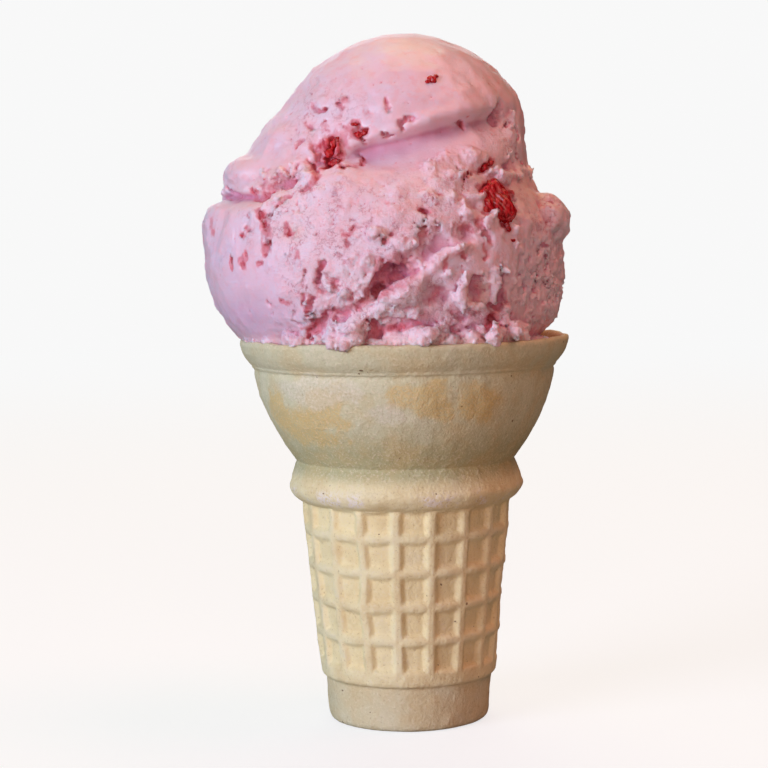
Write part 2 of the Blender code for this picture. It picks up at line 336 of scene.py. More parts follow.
wafer = Nodes("baked_wafer", 236, 224, 176)
wafer.tint(wafer.remap(wafer.height, 0.0535, 0.0575), 211, 211, 176)
# Darker and greyer from the middle of the bowl down to the neck: partly the wafer's own tone, partly painted
# shade under the bowl's overhang.
wafer.tint(wafer.remap(wafer.height, 0.066, 0.057), 182, 182, 140)
wafer.tint(wafer.remap(wafer.height, 0.0545, 0.051), 243, 234, 188)
wafer.tint(wafer.remap(wafer.height, 0.0105, 0.0088), 219, 211, 174)
cloudy = wafer.noise(7.0, 4.0, 0.6)
wafer.tint(wafer.remap(cloudy, 0.38, 0.72, 0.0, 0.5), 214, 188, 132)
wafer.tint(wafer.remap(cloudy, 0.5, 0.25, 0.0, 0.45), 226, 220, 190)
grain = wafer.noise(0.55, 2.0, 0.7)
edge = wafer.maths("MULTIPLY_ADD", wafer.remap(grain, 0.35, 0.65, -0.25, 0.25), 1.0)
brown_share = wafer.times(wafer.attribute("browned"), edge, True)
wafer.tint(wafer.times(brown_share, 0.9), 220, 182, 88)
pale_share = wafer.times(wafer.attribute("pale"), edge, True)
wafer.tint(wafer.times(pale_share, 0.9), 226, 222, 202)
flour_share = wafer.times(wafer.attribute("floury"), wafer.remap(grain, 0.4, 0.54), True)
wafer.tint(wafer.times(flour_share, 0.95), 244, 238, 228)
# Cell floors tinted lighter and yellower: partly the batter's tone where the iron pressed, partly painted
# light against the shade in the cells.
wafer.tint(wafer.times(wafer.attribute("pressed"), 0.3), 240, 222, 164)
wafer.tint(wafer.times(wafer.attribute("soaked"), 0.75), 216, 150, 84)
wafer.tint(wafer.remap(grain, 0.5, 0.72, 0.0, 0.5), 240, 230, 205)
wafer.tint(wafer.remap(grain, 0.42, 0.25, 0.0, 0.4), 170, 142, 98)
scorch = wafer.noise(1.6, 1.0, 0.4)
wafer.tint(wafer.remap(scorch, 0.775, 0.80, 0.0, 0.8), 110, 78, 48)
pores = wafer.bump(grain, 0.22, 0.8)
wafer.surface({
    "Roughness": wafer.remap(grain, 0.2, 0.8, 0.62, 0.82),
    "Specular IOR Level": 0.35,
    "Normal": wafer.bump(wafer.noise(2.4, 3.0, 0.6), 0.35, 0.6, pores),
})
cup.data.materials.append(wafer.material)
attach(cup, "root")
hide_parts("wafer_cup")

# ---------------------------------------------------------------------------
# The ice cream. One hand-scooped portion, rolled up by the scoop in two turns
# and pressed down on the cup: sheared smooth where the steel slid over it, torn
# and crumbly where it broke away, with pits and juice left by the fruit.
# ---------------------------------------------------------------------------
GRAIN = 0.38
SCOOP_LOW = np.array([-45.5, -39.5, 73.5])
SCOOP_HIGH = np.array([37.5, 40.0, 147.0])
counts = np.ceil((SCOOP_HIGH - SCOOP_LOW) / GRAIN).astype(int) + 1
counts += counts % 2
axes = [(SCOOP_LOW[i] + GRAIN * np.arange(counts[i])).astype(np.float32) for i in range(3)]
whole_counts = tuple(int(n) for n in counts)
half_counts = tuple(n // 2 for n in whole_counts)

# Each lobe: centre, half-axes and the fillet where it joins the ones before it.
LOBES = {
    "lower roll": ((-3.9, 0, 98), (37.6, 36.6, 28.8), 0),
    "base": ((1.5, 0, 88), (31.2, 32, 14), 2.5),
    "left bulge": ((-28.5, -2, 104.3), (12.8, 16, 9.3), 2.5),
    "top roll": ((0.7, 0.5, 115.6), (28, 27.3, 28.2), 2),
    "shoulder": ((-14, -1, 114), (19, 21, 16.8), 3),
    "left lip": ((-26, -4.5, 115), (10.9, 13.6, 4.8), 1.2),
    "side lump": ((28.4, -8, 104.8), (5.9, 7, 6.4), 0.7),
}


def joined(a, b, width):
    """The nearer of two shapes, with a fillet of this width between them."""
    share = np.clip(0.5 + 0.5 * (b - a) / width, 0.0, 1.0)
    return b * (1.0 - share) + a * share - width * share * (1.0 - share)


def cut(a, b, width):
    """Shape a with shape b taken out of it."""
    return -joined(-a, b, width)


def bump_at(x, y, z, centre, half):
    """1 at the centre, fading smoothly to nothing over the half-widths."""
    parts = [(v - c) / h for v, c, h in zip((x, y, z), centre, half)]
    return np.exp(-sum(p * p for p in parts))


def ridge(height, width):
    """1 along a line, fading smoothly to nothing over the width on each side."""
    return np.exp(-((height / width) ** 2))


def scoop_shape(x, y, z):
    """Distance in millimetres from the scoop's skin before it is torn, negative inside."""
    found = None
    for centre, half, fillet in LOBES.values():
        parts = [(v - c) / h for v, c, h in zip((x, y, z), centre, half)]
        reach = np.sqrt(sum(p * p for p in parts))
        slope = np.sqrt(sum((p / h) ** 2 for p, h in zip(parts, half))) + 1e-6
        lobe = reach * (reach - 1.0) / slope
        found = lobe if found is None else joined(found, lobe, fillet)
    # The crease between the two turns: a wide dragged valley on the right, torn on the left.
    crease = 110.0 + 7.0 * soft_step(x, -27.0, -15.5) + 0.24 * np.maximum(x + 15.0, 0.0)
    sway = 1.3 * np.sin(0.21 * y + 0.09 * x + 0.8) + 0.5 * np.sin(0.53 * y + 0.31 * x)
    crease = crease + soft_step(y, -16.0, 2.0) * sway
    above = z - crease
    valley = soft_step(x, -13.0, -5.0) * soft_step(-x, -25.0, -18.0)
    brow = soft_step(x, -4.0, 5.0) * soft_step(-x, -19.0, -12.0)
    hollow = np.where(above > 0.0, above / 1.7, above / 4.8)
    front = 0.55 + 0.45 * soft_step(-y, -6.0, 8.0)
    left_notch = soft_step(-x, 26.0, 31.0) * soft_step(-y, -9.0, 1.0)
    found = found + 3.1 * front * valley * ridge(hollow, 1.0)
    found = found - 0.6 * brow * ridge(above - 3.3, 1.5)
    found = found + 1.2 * front * soft_step(-x, 5.0, 13.0) * ridge(above, 1.3)
    found = found + 1.2 * left_notch * ridge(above - 0.3, 0.8)
    found = found + 3.0 * bump_at(x, y, z, (29.5, 0.0, 119.0), (8.0, 30.0, 8.0))
    # The side that broke off the block on the lower right stands back behind a ragged edge.
    return found + 2.0 * bump_at(x, y, z, (27.5, -21.0, 91.0), (6.0, 9.0, 10.0))


X, Y, Z = np.meshgrid(*axes, indexing="ij", sparse=True)
scoop = scoop_shape(X, Y, Z).astype(np.float32)
stain = np.zeros(whole_counts, np.float32)

drift = [cloud(half_counts, 2 * GRAIN, 2.0, 12.0, 1.6, seed) for seed in (21, 22, 23)]
lumps = cloud(half_counts, 2 * GRAIN, 2.2, 16.0, 1.6, 24)
tears = cloud(whole_counts, GRAIN, 0.9, 6.0, 1.3, 25)
pits = cloud(whole_counts, GRAIN, 0.55, 2.4, 0.4, 27)

# How the skin is in each place: centre, half-widths and strength.
SMOOTH = [
    ((10, -16, 134), (17, 30, 9), 1),
    ((-2, 0, 142), (20, 24, 5), 1),
    ((-28, -12, 117), (8, 12, 4), 0.6),
    ((14, -24, 120.5), (20, 16, 4.5), 1),
    ((-1, -28, 117.5), (8, 10, 3), 0.8),
    ((-31, -14, 91), (13, 30, 8.5), 1),
    ((8, -37, 100), (8, 8, 3), 0.8),
    ((0, 30, 118), (30, 20, 9), 0.8),
]
PITTED = [
    ((-16, -16, 128), (11, 24, 9), 0.55),
    ((-4, -36, 106), (17, 14, 9), 0.75),
    ((-24, -28, 106), (9, 12, 7), 0.7),
    ((14, -30, 112), (9, 14, 7), 0.9),
    ((-16, -30, 94), (8, 12, 8), 0.8),
    ((27, -12, 106), (9, 12, 6), 0.8),
    ((0, 34, 100), (34, 16, 14), 0.6),
]
CRUMBLY = [
    ((-9, -33, 90), (9, 12, 6.5), 0.9),
    ((4, -35, 88), (12, 12, 5.5), 0.9),
    ((17, -28, 90), (7, 12, 8), 0.5),
    ((-3, -33, 83), (24, 12, 3), 0.9),
    ((22, -17, 121), (5, 9, 7), 0.7),
    ((-22, -24, 112), (7, 10, 3.5), 0.7),
    ((6, 33, 86), (22, 14, 5), 0.8),
]
FIBROUS = [((28, -18, 92), (6.5, 14, 10), 1), ((30, 14, 94), (9, 14, 9), 0.8)]
# Smooth sides the scoop wiped, also tinted lavender there as painted cool shade, darker low down under the
# roll.
WIPED_AND_SHADED = [((-31, -14, 91), (13, 30, 9.5), 1), ((0, 30, 118), (30, 20, 9), 0.8)]
# Peach tints on the skin; two of them are painted light, marked below.
PEACHY = [
    ((-31, -17, 109.5), (5, 8, 2.5), 0.6),
    ((-21, -32, 103), (2.5, 6, 2), 0.8),
    ((-29, -24, 114), (5, 8, 4), 0.35),
    ((4, -34, 111), (3, 8, 4), 0.5),
    ((15.5, -31, 91.5), (2.2, 6, 3), 0.9),
    ((-8, -31, 84.5), (3, 8, 2), 0.7),
    # Painted warm light on the upper right.
    ((26, -12, 112), (5, 14, 4), 0.9),
    # Painted: the warm glow of light through the ice cream in the shade between the rim clots and the rim.
    ((0, 0, 81.4), (60, 60, 1.1), 0.9),
    ((-12, 30, 100), (6, 12, 4), 0.5),
]


def amount(areas, x, y, z):
    """How strongly the areas hold at each place, 0 to 1."""
    return np.minimum(sum(k * bump_at(x, y, z, c, h) for c, h, k in areas), 1.0)


# Only the cells near the skin need its roughness.
NEAR_SKIN = 3.2
band = np.flatnonzero(np.abs(scoop) < NEAR_SKIN)
place = np.stack(np.unravel_index(band, whole_counts), axis=1)
spots = [a[place[:, i]] for i, a in enumerate(axes)]
smooth = amount(SMOOTH, *spots)
pitted = np.maximum(amount(PITTED, *spots), 0.22) * (1.0 - 0.95 * smooth)
crumbly = amount(CRUMBLY, *spots) * (1.0 - 0.8 * smooth)
fibrous = amount(FIBROUS, *spots)
halves = tuple((place // 2).T)
broad = lumps[halves]
middling = tears.reshape(-1)[band]
bitty = pits.reshape(-1)[band]
relief = 0.2 * broad * (1.0 - 0.5 * smooth)
relief += (0.05 + 0.06 * pitted + 0.1 * crumbly) * middling * (1.0 - smooth)
# Plates that broke off in layers.
ragged = broad + 0.45 * middling + 0.2 * bitty
plates = soft_step(ragged, -0.3, 0.1) + soft_step(ragged, 0.7, 1.1)
relief = relief - (0.1 * pitted + 0.3 * crumbly) * (plates - 1.0)
# Short crooked cracks, each along a line where one cloud changes sign, in patches.
patchy = drift[1][halves] + 0.5 * drift[2][halves] + 0.35 * bitty
in_patches = soft_step(patchy, 1.0 - 0.9 * pitted, 1.7 - 0.9 * pitted)
cracks = soft_step(-np.abs(middling), -0.34, -0.06) * in_patches * (1.0 - smooth)
relief += (0.16 + 0.3 * pitted) * cracks
# Small holes, crumbs and, on the broken side, fibres drawn upright.
holes = soft_step(0.8 * bitty + 0.6 * middling, 2.35 - 1.0 * pitted, 2.9 - 1.0 * pitted)
relief += (0.2 + 0.22 * pitted) * holes
relief += crumbly * (0.5 + 0.22 * bitty)
streaks = cloud(whole_counts, GRAIN, 0.5, 2.5, 0.3, 28)
fibre = streaks[place[:, 0], place[:, 1], (place[:, 2] // 4 + 7) % whole_counts[2]]
relief += fibrous * (0.26 * fibre + 0.34 * middling + 0.36 * bitty)
scoop.reshape(-1)[band] += relief
# Holes and cracks take the juice colour, redder inside: partly juice, partly painted shade and the red glow
# of light scattered in them.
stain.reshape(-1)[band] = np.maximum(0.5 * holes, 0.42 * cracks)

WANDER = 0.35
RAGGED = 0.16
DEEPEST = 1.3
NARROWEST = 0.45


def around(path, reach):
    """The part of the grid round a path of points, with its coordinates made to wander."""
    low = np.maximum(((np.min(path, axis=0) - reach - SCOOP_LOW) / GRAIN).astype(int), 0)
    high = np.minimum(((np.max(path, axis=0) + reach - SCOOP_LOW) / GRAIN).astype(int) + 2, counts)
    box = tuple(slice(a, b) for a, b in zip(low, high))
    spots = np.meshgrid(*[axes[i][box[i]] for i in range(3)], indexing="ij")
    halves = np.ix_(*[np.minimum(np.arange(a, b) // 2, n - 1) for a, b, n in zip(low, high, half_counts)])
    return box, [s + WANDER * d[halves] for s, d in zip(spots, drift)]


def stroke(box, spots, path, radii):
    """Distance from a chain of rounded strokes through these points, with a ragged edge."""
    nearest = None
    for start, end, r0, r1 in zip(path, path[1:], radii, radii[1:]):
        along = np.subtract(end, start)
        share = sum((s - a) * d for s, a, d in zip(spots, start, along)) / (along @ along + 1e-9)
        share = np.clip(share, 0.0, 1.0)
        away = sum((s - a - share * d) ** 2 for s, a, d in zip(spots, start, along))
        found = np.sqrt(away) - (r0 + (r1 - r0) * share)
        nearest = found if nearest is None else np.minimum(nearest, found)
    return nearest + RAGGED * pits[box]


def carve(path, radii, fillet, juice=0.0, spread=1.0):
    """Gouges a channel through the scoop; juice may stain its sides."""
    box, spots = around(path, max(radii) + 2.5 + spread)
    found = stroke(box, spots, path, radii)
    scoop[box] = cut(scoop[box], found, fillet)
    if juice:
        stain[box] = np.maximum(stain[box], juice * soft_step(-found, -spread, 0.3 * spread))


def build_up(path, radii, fillet):
    """Adds a strand, flake or clot of ice cream to the scoop."""
    box, spots = around(path, max(radii) + 2.5)
    scoop[box] = joined(scoop[box], stroke(box, spots, path, radii), fillet)


def on_front(path, lifts):
    """Points given across and up, placed on the front of the untorn skin and lifted off it."""
    across, up = np.array(path, float).T
    depths = np.linspace(-42.0, 0.0, 211)
    inside = scoop_shape(across[:, None], depths[None, :], up[:, None]) < 0.0
    y = depths[inside.argmax(axis=1)]
    nudges = [(0.3, 0, 0), (0, 0.3, 0), (0, 0, 0.3)]
    slopes = [
        scoop_shape(across + a, y + b, up + c) - scoop_shape(across - a, y - b, up - c) for a, b, c in nudges
    ]
    outward = np.stack(slopes, axis=1)
    outward /= np.linalg.norm(outward, axis=1, keepdims=True) + 1e-6
    return np.column_stack([across, y, up]) + outward * np.reshape(lifts, (-1, 1))


def spread_over(value, path):
    return np.broadcast_to(np.asarray(value, float), len(path)).copy()


def gouge(path, widths, depths, fillet, juice=0.0, spread=1.0):
    """A groove in the front, of these half-widths and depths, open to the outside."""
    widths = np.maximum(spread_over(widths, path), NARROWEST)
    depths = np.minimum(spread_over(depths, path), DEEPEST * widths + 0.15)
    carve(on_front(path, 1.2 * widths + 0.4), widths, fillet)
    carve(on_front(path, widths - depths), widths, fillet, juice, spread)


def dye(path, width, juice):
    """A streak of juice on the front, with no pit under it."""
    path = on_front(path, 0.0)
    box, spots = around(path, width + 2.0)
    found = stroke(box, spots, path, spread_over(width, path))
    stain[box] = np.maximum(stain[box], juice * soft_step(-found, -0.7, 0.3))


def heap_up(path, widths, heights, fillet):
    """A strand, flake or clot on the front, of these half-widths and heights."""
    widths, heights = spread_over(widths, path), spread_over(heights, path)
    build_up(on_front(path, heights - widths), widths, fillet)


# Clots left standing where it crumbled.
TRIES = 24000
dice = np.random.default_rng(31)
near_skin = np.flatnonzero(np.abs(scoop + 0.6) < 0.3)
picked = dice.choice(near_skin, TRIES, replace=False)
spots = np.stack(np.unravel_index(picked, whole_counts), axis=1) * GRAIN + SCOOP_LOW
liking = amount(CRUMBLY, *spots.T) * (1.0 - amount(SMOOTH, *spots.T))
for spot in spots[dice.random(TRIES) < 0.022 * liking]:
    size = 0.7 + 1.2 * dice.random() ** 2
    lean = dice.normal(0.0, 0.9, 3)
    build_up([spot, spot + lean], [size, size * 0.7], 0.35)

# The gash under the lip on the left: petals torn upwards, then one deep crack running to the fruit.
gouge([(-36, 112.5), (-34.5, 111.5), (-32.5, 110.5)], 0.5, 0.9, 0.3, 0.3, 0.8)
gouge([(-30.5, 112), (-29, 111.5), (-27.5, 111)], 0.35, 0.9, 0.2, 0.8, 0.7)
gouge([(-30, 111), (-28.5, 110), (-27.5, 109.5)], 0.4, 1, 0.2, 0.9, 0.8)
gouge([(-27.5, 113.5), (-26.5, 112.5), (-25, 111.5)], 0.5, 1.2, 0.2, 0.6, 0.8)
gouge([(-26, 111.5), (-24.5, 112), (-23, 113), (-21, 113.5), (-20, 114.5)],
      [0.6, 0.9, 1.2, 1, 0.5], [1.4, 2.6, 3.2, 2.8, 1.2], 0.25, 0.3, 0.8)
for across, up in [(-27, 114.5), (-25.5, 114), (-24.5, 114.5), (-23, 115), (-21.5, 116)]:
    heap_up([(across - 0.7, up + 0.9), (across, up)], [0.5, 0.7], 0.5, 0.25)
    gouge([(across + 0.6, up + 0.8), (across + 0.9, up - 0.5)], 0.35, 0.5, 0.2, 0.35, 0.5)
for across, up in [(-25, 109.5), (-24, 111), (-21, 112)]:
    heap_up([(across, up), (across + 1, up + 0.2)], [0.6, 0.5], 0.35, 0.3)
gouge([(-23, 111.5), (-21.5, 112.5), (-20.5, 113.5)], 0.6, 2.2, 0.2, 0.6, 0.9)
gouge([(-27.5, 110.5), (-26.5, 110.5), (-25.5, 110.5)], 0.6, 1.6, 0.2, 0.9, 1.2)
gouge([(-23.5, 109), (-23, 109.5), (-22, 110)], 0.45, 1.4, 0.2, 0.6, 0.7)
gouge([(-24.5, 108.5), (-25, 107.5), (-26, 106.5), (-27, 106.5)], 0.45, 1, 0.2, 0.8, 0.8)
gouge([(-19.5, 117), (-18, 116.5), (-17, 115.5), (-16.5, 114), (-17.5, 113), (-19, 112)],
      [0.4, 0.6, 0.9, 0.7, 0.5, 0.3], [0.8, 1.4, 2.4, 1.8, 1.2, 0.5], 0.2, 0.6, 1)
heap_up([(-19.5, 115.5), (-18.5, 114)], 1.7, 0.7, 0.8)
heap_up([(-25, 110), (-23.5, 110.5)], 1.2, 0.6, 0.4)
heap_up([(-27, 108.5), (-26, 109)], 1, 0.5, 0.3)
# The bed of the smaller fruit, with clots and dark crumbs of fruit round it.
gouge([(-14, 121), (-13, 119), (-13, 117.5), (-14.5, 116)],
      [1.3, 1.6, 1.8, 1.2], [0.9, 1.1, 1.2, 0.8], 0.4, 1, 1.2)
gouge([(-17, 120.5), (-15.5, 119.5), (-15.5, 117.5)], [1, 1.4, 1.4], 0.4, 1, 0.5, 1.6)
dye([(-15.5, 120.5), (-14, 119.5), (-13, 117)], 1.6, 1)
dye([(-17.5, 119.5), (-16.5, 118.5)], 1.2, 0.4)
heap_up([(-15, 121.5), (-14.5, 120)], [0.7, 0.5], [1.1, 0.9], 0.3)
heap_up([(-12, 120), (-12.5, 118.5)], [0.8, 0.5], [1.2, 0.9], 0.3)
heap_up([(-15, 117.5), (-14.5, 117)], [0.7, 0.5], [1.1, 0.8], 0.3)
dye([(-38.5, 106), (-38.5, 103.5)], 0.6, 0.55)
dye([(29.5, 103.5), (29.5, 101.5)], 0.5, 0.8)
dye([(-21, 100), (-20.5, 98.5)], 0.5, 0.5)
dye([(-2.5, 108.5), (-2, 106)], 0.7, 0.35)
dye([(-12.5, 108.5), (-11.5, 107.5)], 0.6, 0.35)
gouge([(-12.5, 117), (-11.5, 116), (-9.5, 116)], 0.4, 1.2, 0.2, 0.9, 0.8)
gouge([(-8.5, 118.5), (-7.5, 117.5), (-8, 116)], 0.35, 1.1, 0.2, 0.8, 0.5)
heap_up([(-11.5, 118), (-10.5, 118)], 1.1, 0.6, 0.4)
heap_up([(-8.5, 117), (-9, 116.5)], 1.1, 0.5, 0.4)
gouge([(-9.5, 124.5), (-8.5, 124)], 0.6, 1.4, 0.2, 0.9, 0.6)
gouge([(-9.5, 122.5), (-8.5, 122), (-7, 122.5)], [0.9, 1, 0.9], 1.2, 0.2, 0.9, 0.8)
gouge([(-8.5, 121.5), (-8, 120.5)], 0.5, 1.2, 0.2, 0.8, 0.6)
gouge([(-11, 123), (-12, 122), (-11, 120)], 0.6, 0.5, 0.3, 0.6, 1.2)
# Short slits and pits where ice and pulp came out of the top turn.
gouge([(0.5, 123), (0.5, 124.5), (1.5, 125), (3.5, 125)],
      [0.6, 0.8, 0.7, 0.4], [1.8, 2.2, 1.8, 0.9], 0.2, 0.35, 0.7)
gouge([(-3.5, 122), (-3, 121.5), (-1.5, 122)], [0.5, 0.7, 0.5], [1.2, 1.6, 1], 0.2, 0.45, 0.7)
gouge([(-18, 128), (-17, 127.5), (-16, 127.5), (-14.5, 127)], 0.3, 0.6, 0.2, 0.5, 0.5)
gouge([(-19.5, 126), (-19, 125), (-18, 124)], 0.3, 0.6, 0.2, 0.5, 0.5)
gouge([(-12.5, 128.5), (-12.5, 128.5)], 0.5, 0.8, 0.2, 0.8, 0.6)
gouge([(-11, 129.5), (-10, 129)], 0.4, 0.6, 0.2, 0.6, 0.6)
gouge([(-12, 128), (-11, 127.5)], 0.35, 0.6, 0.2, 0.5, 0.5)
gouge([(-13, 124), (-12, 124)], 0.35, 0.6, 0.2, 0.5, 0.5)
gouge([(-15, 124.5), (-15, 124)], 0.4, 0.4, 0.2, 0.7, 0.7)
gouge([(-7, 126.5), (-6, 125.5)], 0.4, 0.6, 0.2, 0.4, 0.6)
gouge([(-3, 129), (-2.5, 127)], 0.4, 0.5, 0.2, 0.4, 0.6)
gouge([(-19.5, 121.5), (-21, 120.5)], 0.35, 0.5, 0.2, 0.6, 0.6)
gouge([(11.5, 124.5), (12, 123.5)], 0.4, 0.8, 0.2, 0.5, 0.5)
# The hollow torn out at the right-hand end of the crease, with flakes across it.
gouge([(20.5, 128.5), (19.5, 126.5), (18, 125)], [1.3, 2.1, 1.5], [2.2, 3.4, 2.4], 0.3, 0.2, 0.8)
carve(on_front([(20, 127.5), (19, 126)], -3.1), [1.6, 1.5], 0.2, 0.3, 0.8)
gouge([(21, 124.5), (21.5, 125.5)], 0.6, 1.4, 0.2, 0.3, 0.6)
heap_up([(22.5, 127.5), (22, 125.5), (21.5, 124)], [0.6, 0.7, 0.6], 0.5, 0.3)
gouge([(23.5, 124.5), (24, 123), (23.5, 121)], [0.8, 1.2, 1], [1.6, 2.2, 2.2], 0.2, 0.1, 0.8)
heap_up([(22, 122.5), (22.5, 122), (23.5, 120.5)], 0.5, 0.7, 0.3)
# The flap that folded over below the valley, and two strands pulled up beside it.
heap_up([(5.5, 113), (7.5, 116), (10, 117.5), (13.5, 117), (16.5, 116.5)],
        [1.6, 2.2, 2.4, 2.2, 1.4], [0.6, 1.1, 1.3, 1.1, 0.6], 0.9)
heap_up([(6.5, 112), (10, 113.5), (13, 113.5)], [2.4, 2.8, 2.2], [0.8, 1, 0.8], 1.2)
heap_up([(5, 110.5), (7, 109.5), (9.5, 109.5)], [1.2, 1.4, 1.2], 0.7, 0.7)
heap_up([(22.5, 118.5), (20.5, 116.5), (18.5, 114), (17, 113)],
        [0.4, 0.6, 0.7, 0.5], [0.5, 1, 1.1, 0.5], 0.4)
heap_up([(26.5, 115), (23.5, 114), (20.5, 113)], [0.7, 0.8, 0.6], [0.6, 1.1, 0.6], 0.4)
gouge([(15.5, 114.5), (17, 115.5), (18.5, 116.5)], [0.7, 0.6, 0.4], [1, 0.9, 0.6], 0.2, 1, 0.8)
gouge([(12.5, 112.5), (13, 113.5), (14, 114)], [0.4, 0.5, 0.4], 0.6, 0.2, 0.8, 1)
gouge([(10.5, 115.5), (11, 114.5), (12, 114.5)], 0.4, 0.7, 0.2, 0.4, 0.5)
gouge([(23.5, 118), (24.5, 116.5), (26, 115.5)], 0.4, 1, 0.2, 0.2, 0.6)
gouge([(20, 115), (21.5, 115.5), (23, 116.5)], 1.6, 0.8, 0.8)
# The bed of the large fruit, the curled flake on its left and the threads pulled over it.
gouge([(16.5, 110.5), (19, 110.5), (21, 110)], [1.3, 1.9, 1.3], [1.2, 1.8, 1], 0.3, 1, 1.2)
gouge([(17.5, 108.5), (19.5, 107.5), (20.5, 105)], [1.7, 2, 1.3], [1.9, 2.2, 1.5], 0.3, 0.9, 1)
gouge([(20.5, 105.5), (21.5, 103)], [1, 0.6], [1.3, 0.8], 0.3, 0.8, 0.9)
gouge([(22.5, 109), (23, 106.5)], [0.6, 0.5], 0.7, 0.3, 0.15, 0.8)
gouge([(15, 105), (15.5, 105)], 0.5, 1.6, 0.2, 0.7, 0.5)
gouge([(12, 104), (13, 104), (14, 103.5)], 0.6, 1, 0.2, 0.7, 0.7)
gouge([(16, 103.5), (16.5, 102.5), (17, 101)], [0.8, 0.9, 0.5], [2, 2.2, 1.2], 0.2, 0.4, 0.8)
gouge([(17, 108), (16.5, 106.5)], 0.5, 1.6, 0.2, 0.6, 0.5)
heap_up([(12.5, 108.5), (12.5, 107), (13.5, 106)], [0.8, 1, 0.8], 0.9, 0.5)
heap_up([(13.5, 109), (15, 109.5), (16, 110)], [0.8, 0.8, 0.5], [1, 1.2, 0.8], 0.5)
gouge([(14, 108), (15, 107)], 1.4, 0.3, 0.8)
heap_up([(22, 110), (20.5, 108), (19, 106.5), (17, 105.5), (16, 103.5)],
        [0.3, 0.4, 0.55, 0.6, 0.45], [0.3, 0.5, 0.8, 0.9, 0.6], 0.2)
heap_up([(19.5, 106), (18, 104.5), (17, 103.5)], [0.25, 0.35, 0.3], [-0.2, 0.1, 0.3], 0.15)
# The upright pit in the middle and smaller ones about it.
gouge([(4, 107), (4.5, 106.5)], 0.8, 1.5, 0.2, 0.75, 0.7)
gouge([(4.5, 106.5), (4, 105), (4, 103.5)], [0.5, 0.4, 0.5], 1.3, 0.2, 0.6, 0.6)
gouge([(4, 103), (4.5, 102.5)], 0.75, 1.6, 0.2, 0.7, 0.7)
gouge([(3, 104.5), (3.5, 104)], 0.4, 0.9, 0.2, 0.7, 0.5)
gouge([(6.5, 104.5), (7, 103.5)], 0.4, 0.6, 0.2, 0.5, 0.6)
gouge([(-9.5, 104), (-9, 104.5)], 0.45, 0.6, 0.2, 0.8, 0.7)
gouge([(-11, 103), (-10, 103)], 0.45, 0.6, 0.2, 0.8, 0.7)
gouge([(-4.5, 102), (-4, 101), (-4.5, 100)], [0.6, 0.7, 0.5], 1.3, 0.3, 0.5, 0.9)
gouge([(-2.5, 102.5), (-2, 103)], 0.35, 0.8, 0.2, 0.4, 0.5)
gouge([(-12, 98.5), (-12, 98.5)], 0.45, 0.6, 0.2, 0.6, 0.6)
gouge([(-11, 100.5), (-11, 101.5)], 0.35, 0.5, 0.2, 0.6, 0.5)
gouge([(0.5, 101.5), (1, 101.5)], 0.4, 0.6, 0.2, 0.7, 0.6)
gouge([(-13.5, 93), (-12.5, 93.5)], 0.4, 0.7, 0.2, 0.5, 0.5)
gouge([(-10.5, 90), (-10.5, 90)], 0.4, 0.9, 0.2, 0.6, 0.5)
gouge([(15.5, 100.5), (16.5, 99), (16, 98)], 0.4, 0.6, 0.2, 0.5, 0.6)
gouge([(11.5, 98), (12, 97.5)], 0.4, 0.5, 0.2, 0.6, 0.6)
gouge([(8.5, 96.5), (8.5, 95.5)], 0.35, 0.6, 0.2, 0.6, 0.5)
# Marks in the smooth skin on the left, drawn out by the scoop.
gouge([(-28.5, 107.5), (-28, 106.5), (-27.5, 105)], [0.5, 0.6, 0.5], 0.8, 0.3, 1, 0.9)
gouge([(-27.5, 105), (-26.5, 103.5), (-26.5, 102.5)], 0.5, 0.3, 0.3, 0.75, 1.4)
gouge([(-26.5, 101), (-26.5, 99.5)], [0.6, 0.7], 0.7, 0.2, 0.9, 0.8)
gouge([(-22.5, 104), (-22, 103)], 0.6, 0.4, 0.3, 0.9, 0.9)
gouge([(-32.5, 103), (-32.5, 102.5)], 0.45, 0.5, 0.2, 0.7, 0.7)
gouge([(-31, 104.5), (-30.5, 103.5)], 0.35, 0.5, 0.2, 0.5, 0.5)
gouge([(-31, 99), (-31, 98)], 0.35, 0.4, 0.2, 0.8, 0.5)
gouge([(-32, 98), (-31.5, 96.5)], [0.5, 0.6], 0.4, 0.2, 0.8, 0.9)
gouge([(-34, 98.5), (-34, 96.5)], 0.35, 0.4, 0.2, 0.7, 0.6)
gouge([(-28.5, 97), (-28, 97)], 0.4, 0.4, 0.2, 0.7, 0.5)
gouge([(-27, 90), (-26.5, 89), (-26, 88.5)], [0.25, 0.35, 0.25], 0.9, 0.2, 0.35, 0.4)
gouge([(-23.5, 89.5), (-22.5, 89.5)], 0.35, 0.4, 0.2, 0.9, 0.5)
gouge([(-19, 95.5), (-20, 94)], 0.3, 0.6, 0.2, 0.4, 0.5)
# The ragged margin where the smooth side ends.
gouge([(-16, 97.5), (-15.5, 96.5), (-16, 94.5), (-16.5, 93)],
      [0.5, 0.9, 0.8, 0.7], [0.8, 1.3, 1.2, 1.1], 0.3, 0.35, 0.9)
gouge([(-16, 91.5), (-16.5, 92)], 0.6, 1.2, 0.2, 0.5, 0.6)
gouge([(-19, 91.5), (-19.5, 89.5)], 0.45, 0.8, 0.2, 0.4, 0.6)
gouge([(-17.5, 90.5), (-18.5, 88.5)], 0.6, 1, 0.2, 0.4, 0.6)
gouge([(-21.5, 87.5), (-21, 86), (-20, 85)], [0.5, 0.6, 0.6], 0.9, 0.3, 0.25, 0.8)
gouge([(-18, 87.5), (-17.5, 86.5)], 0.7, 1, 0.2, 0.5, 0.7)
heap_up([(-20.5, 86.5), (-19, 87.5)], 1, 0.4, 0.5)
heap_up([(-14.5, 95), (-14.5, 93)], 1.1, 0.5, 0.6)
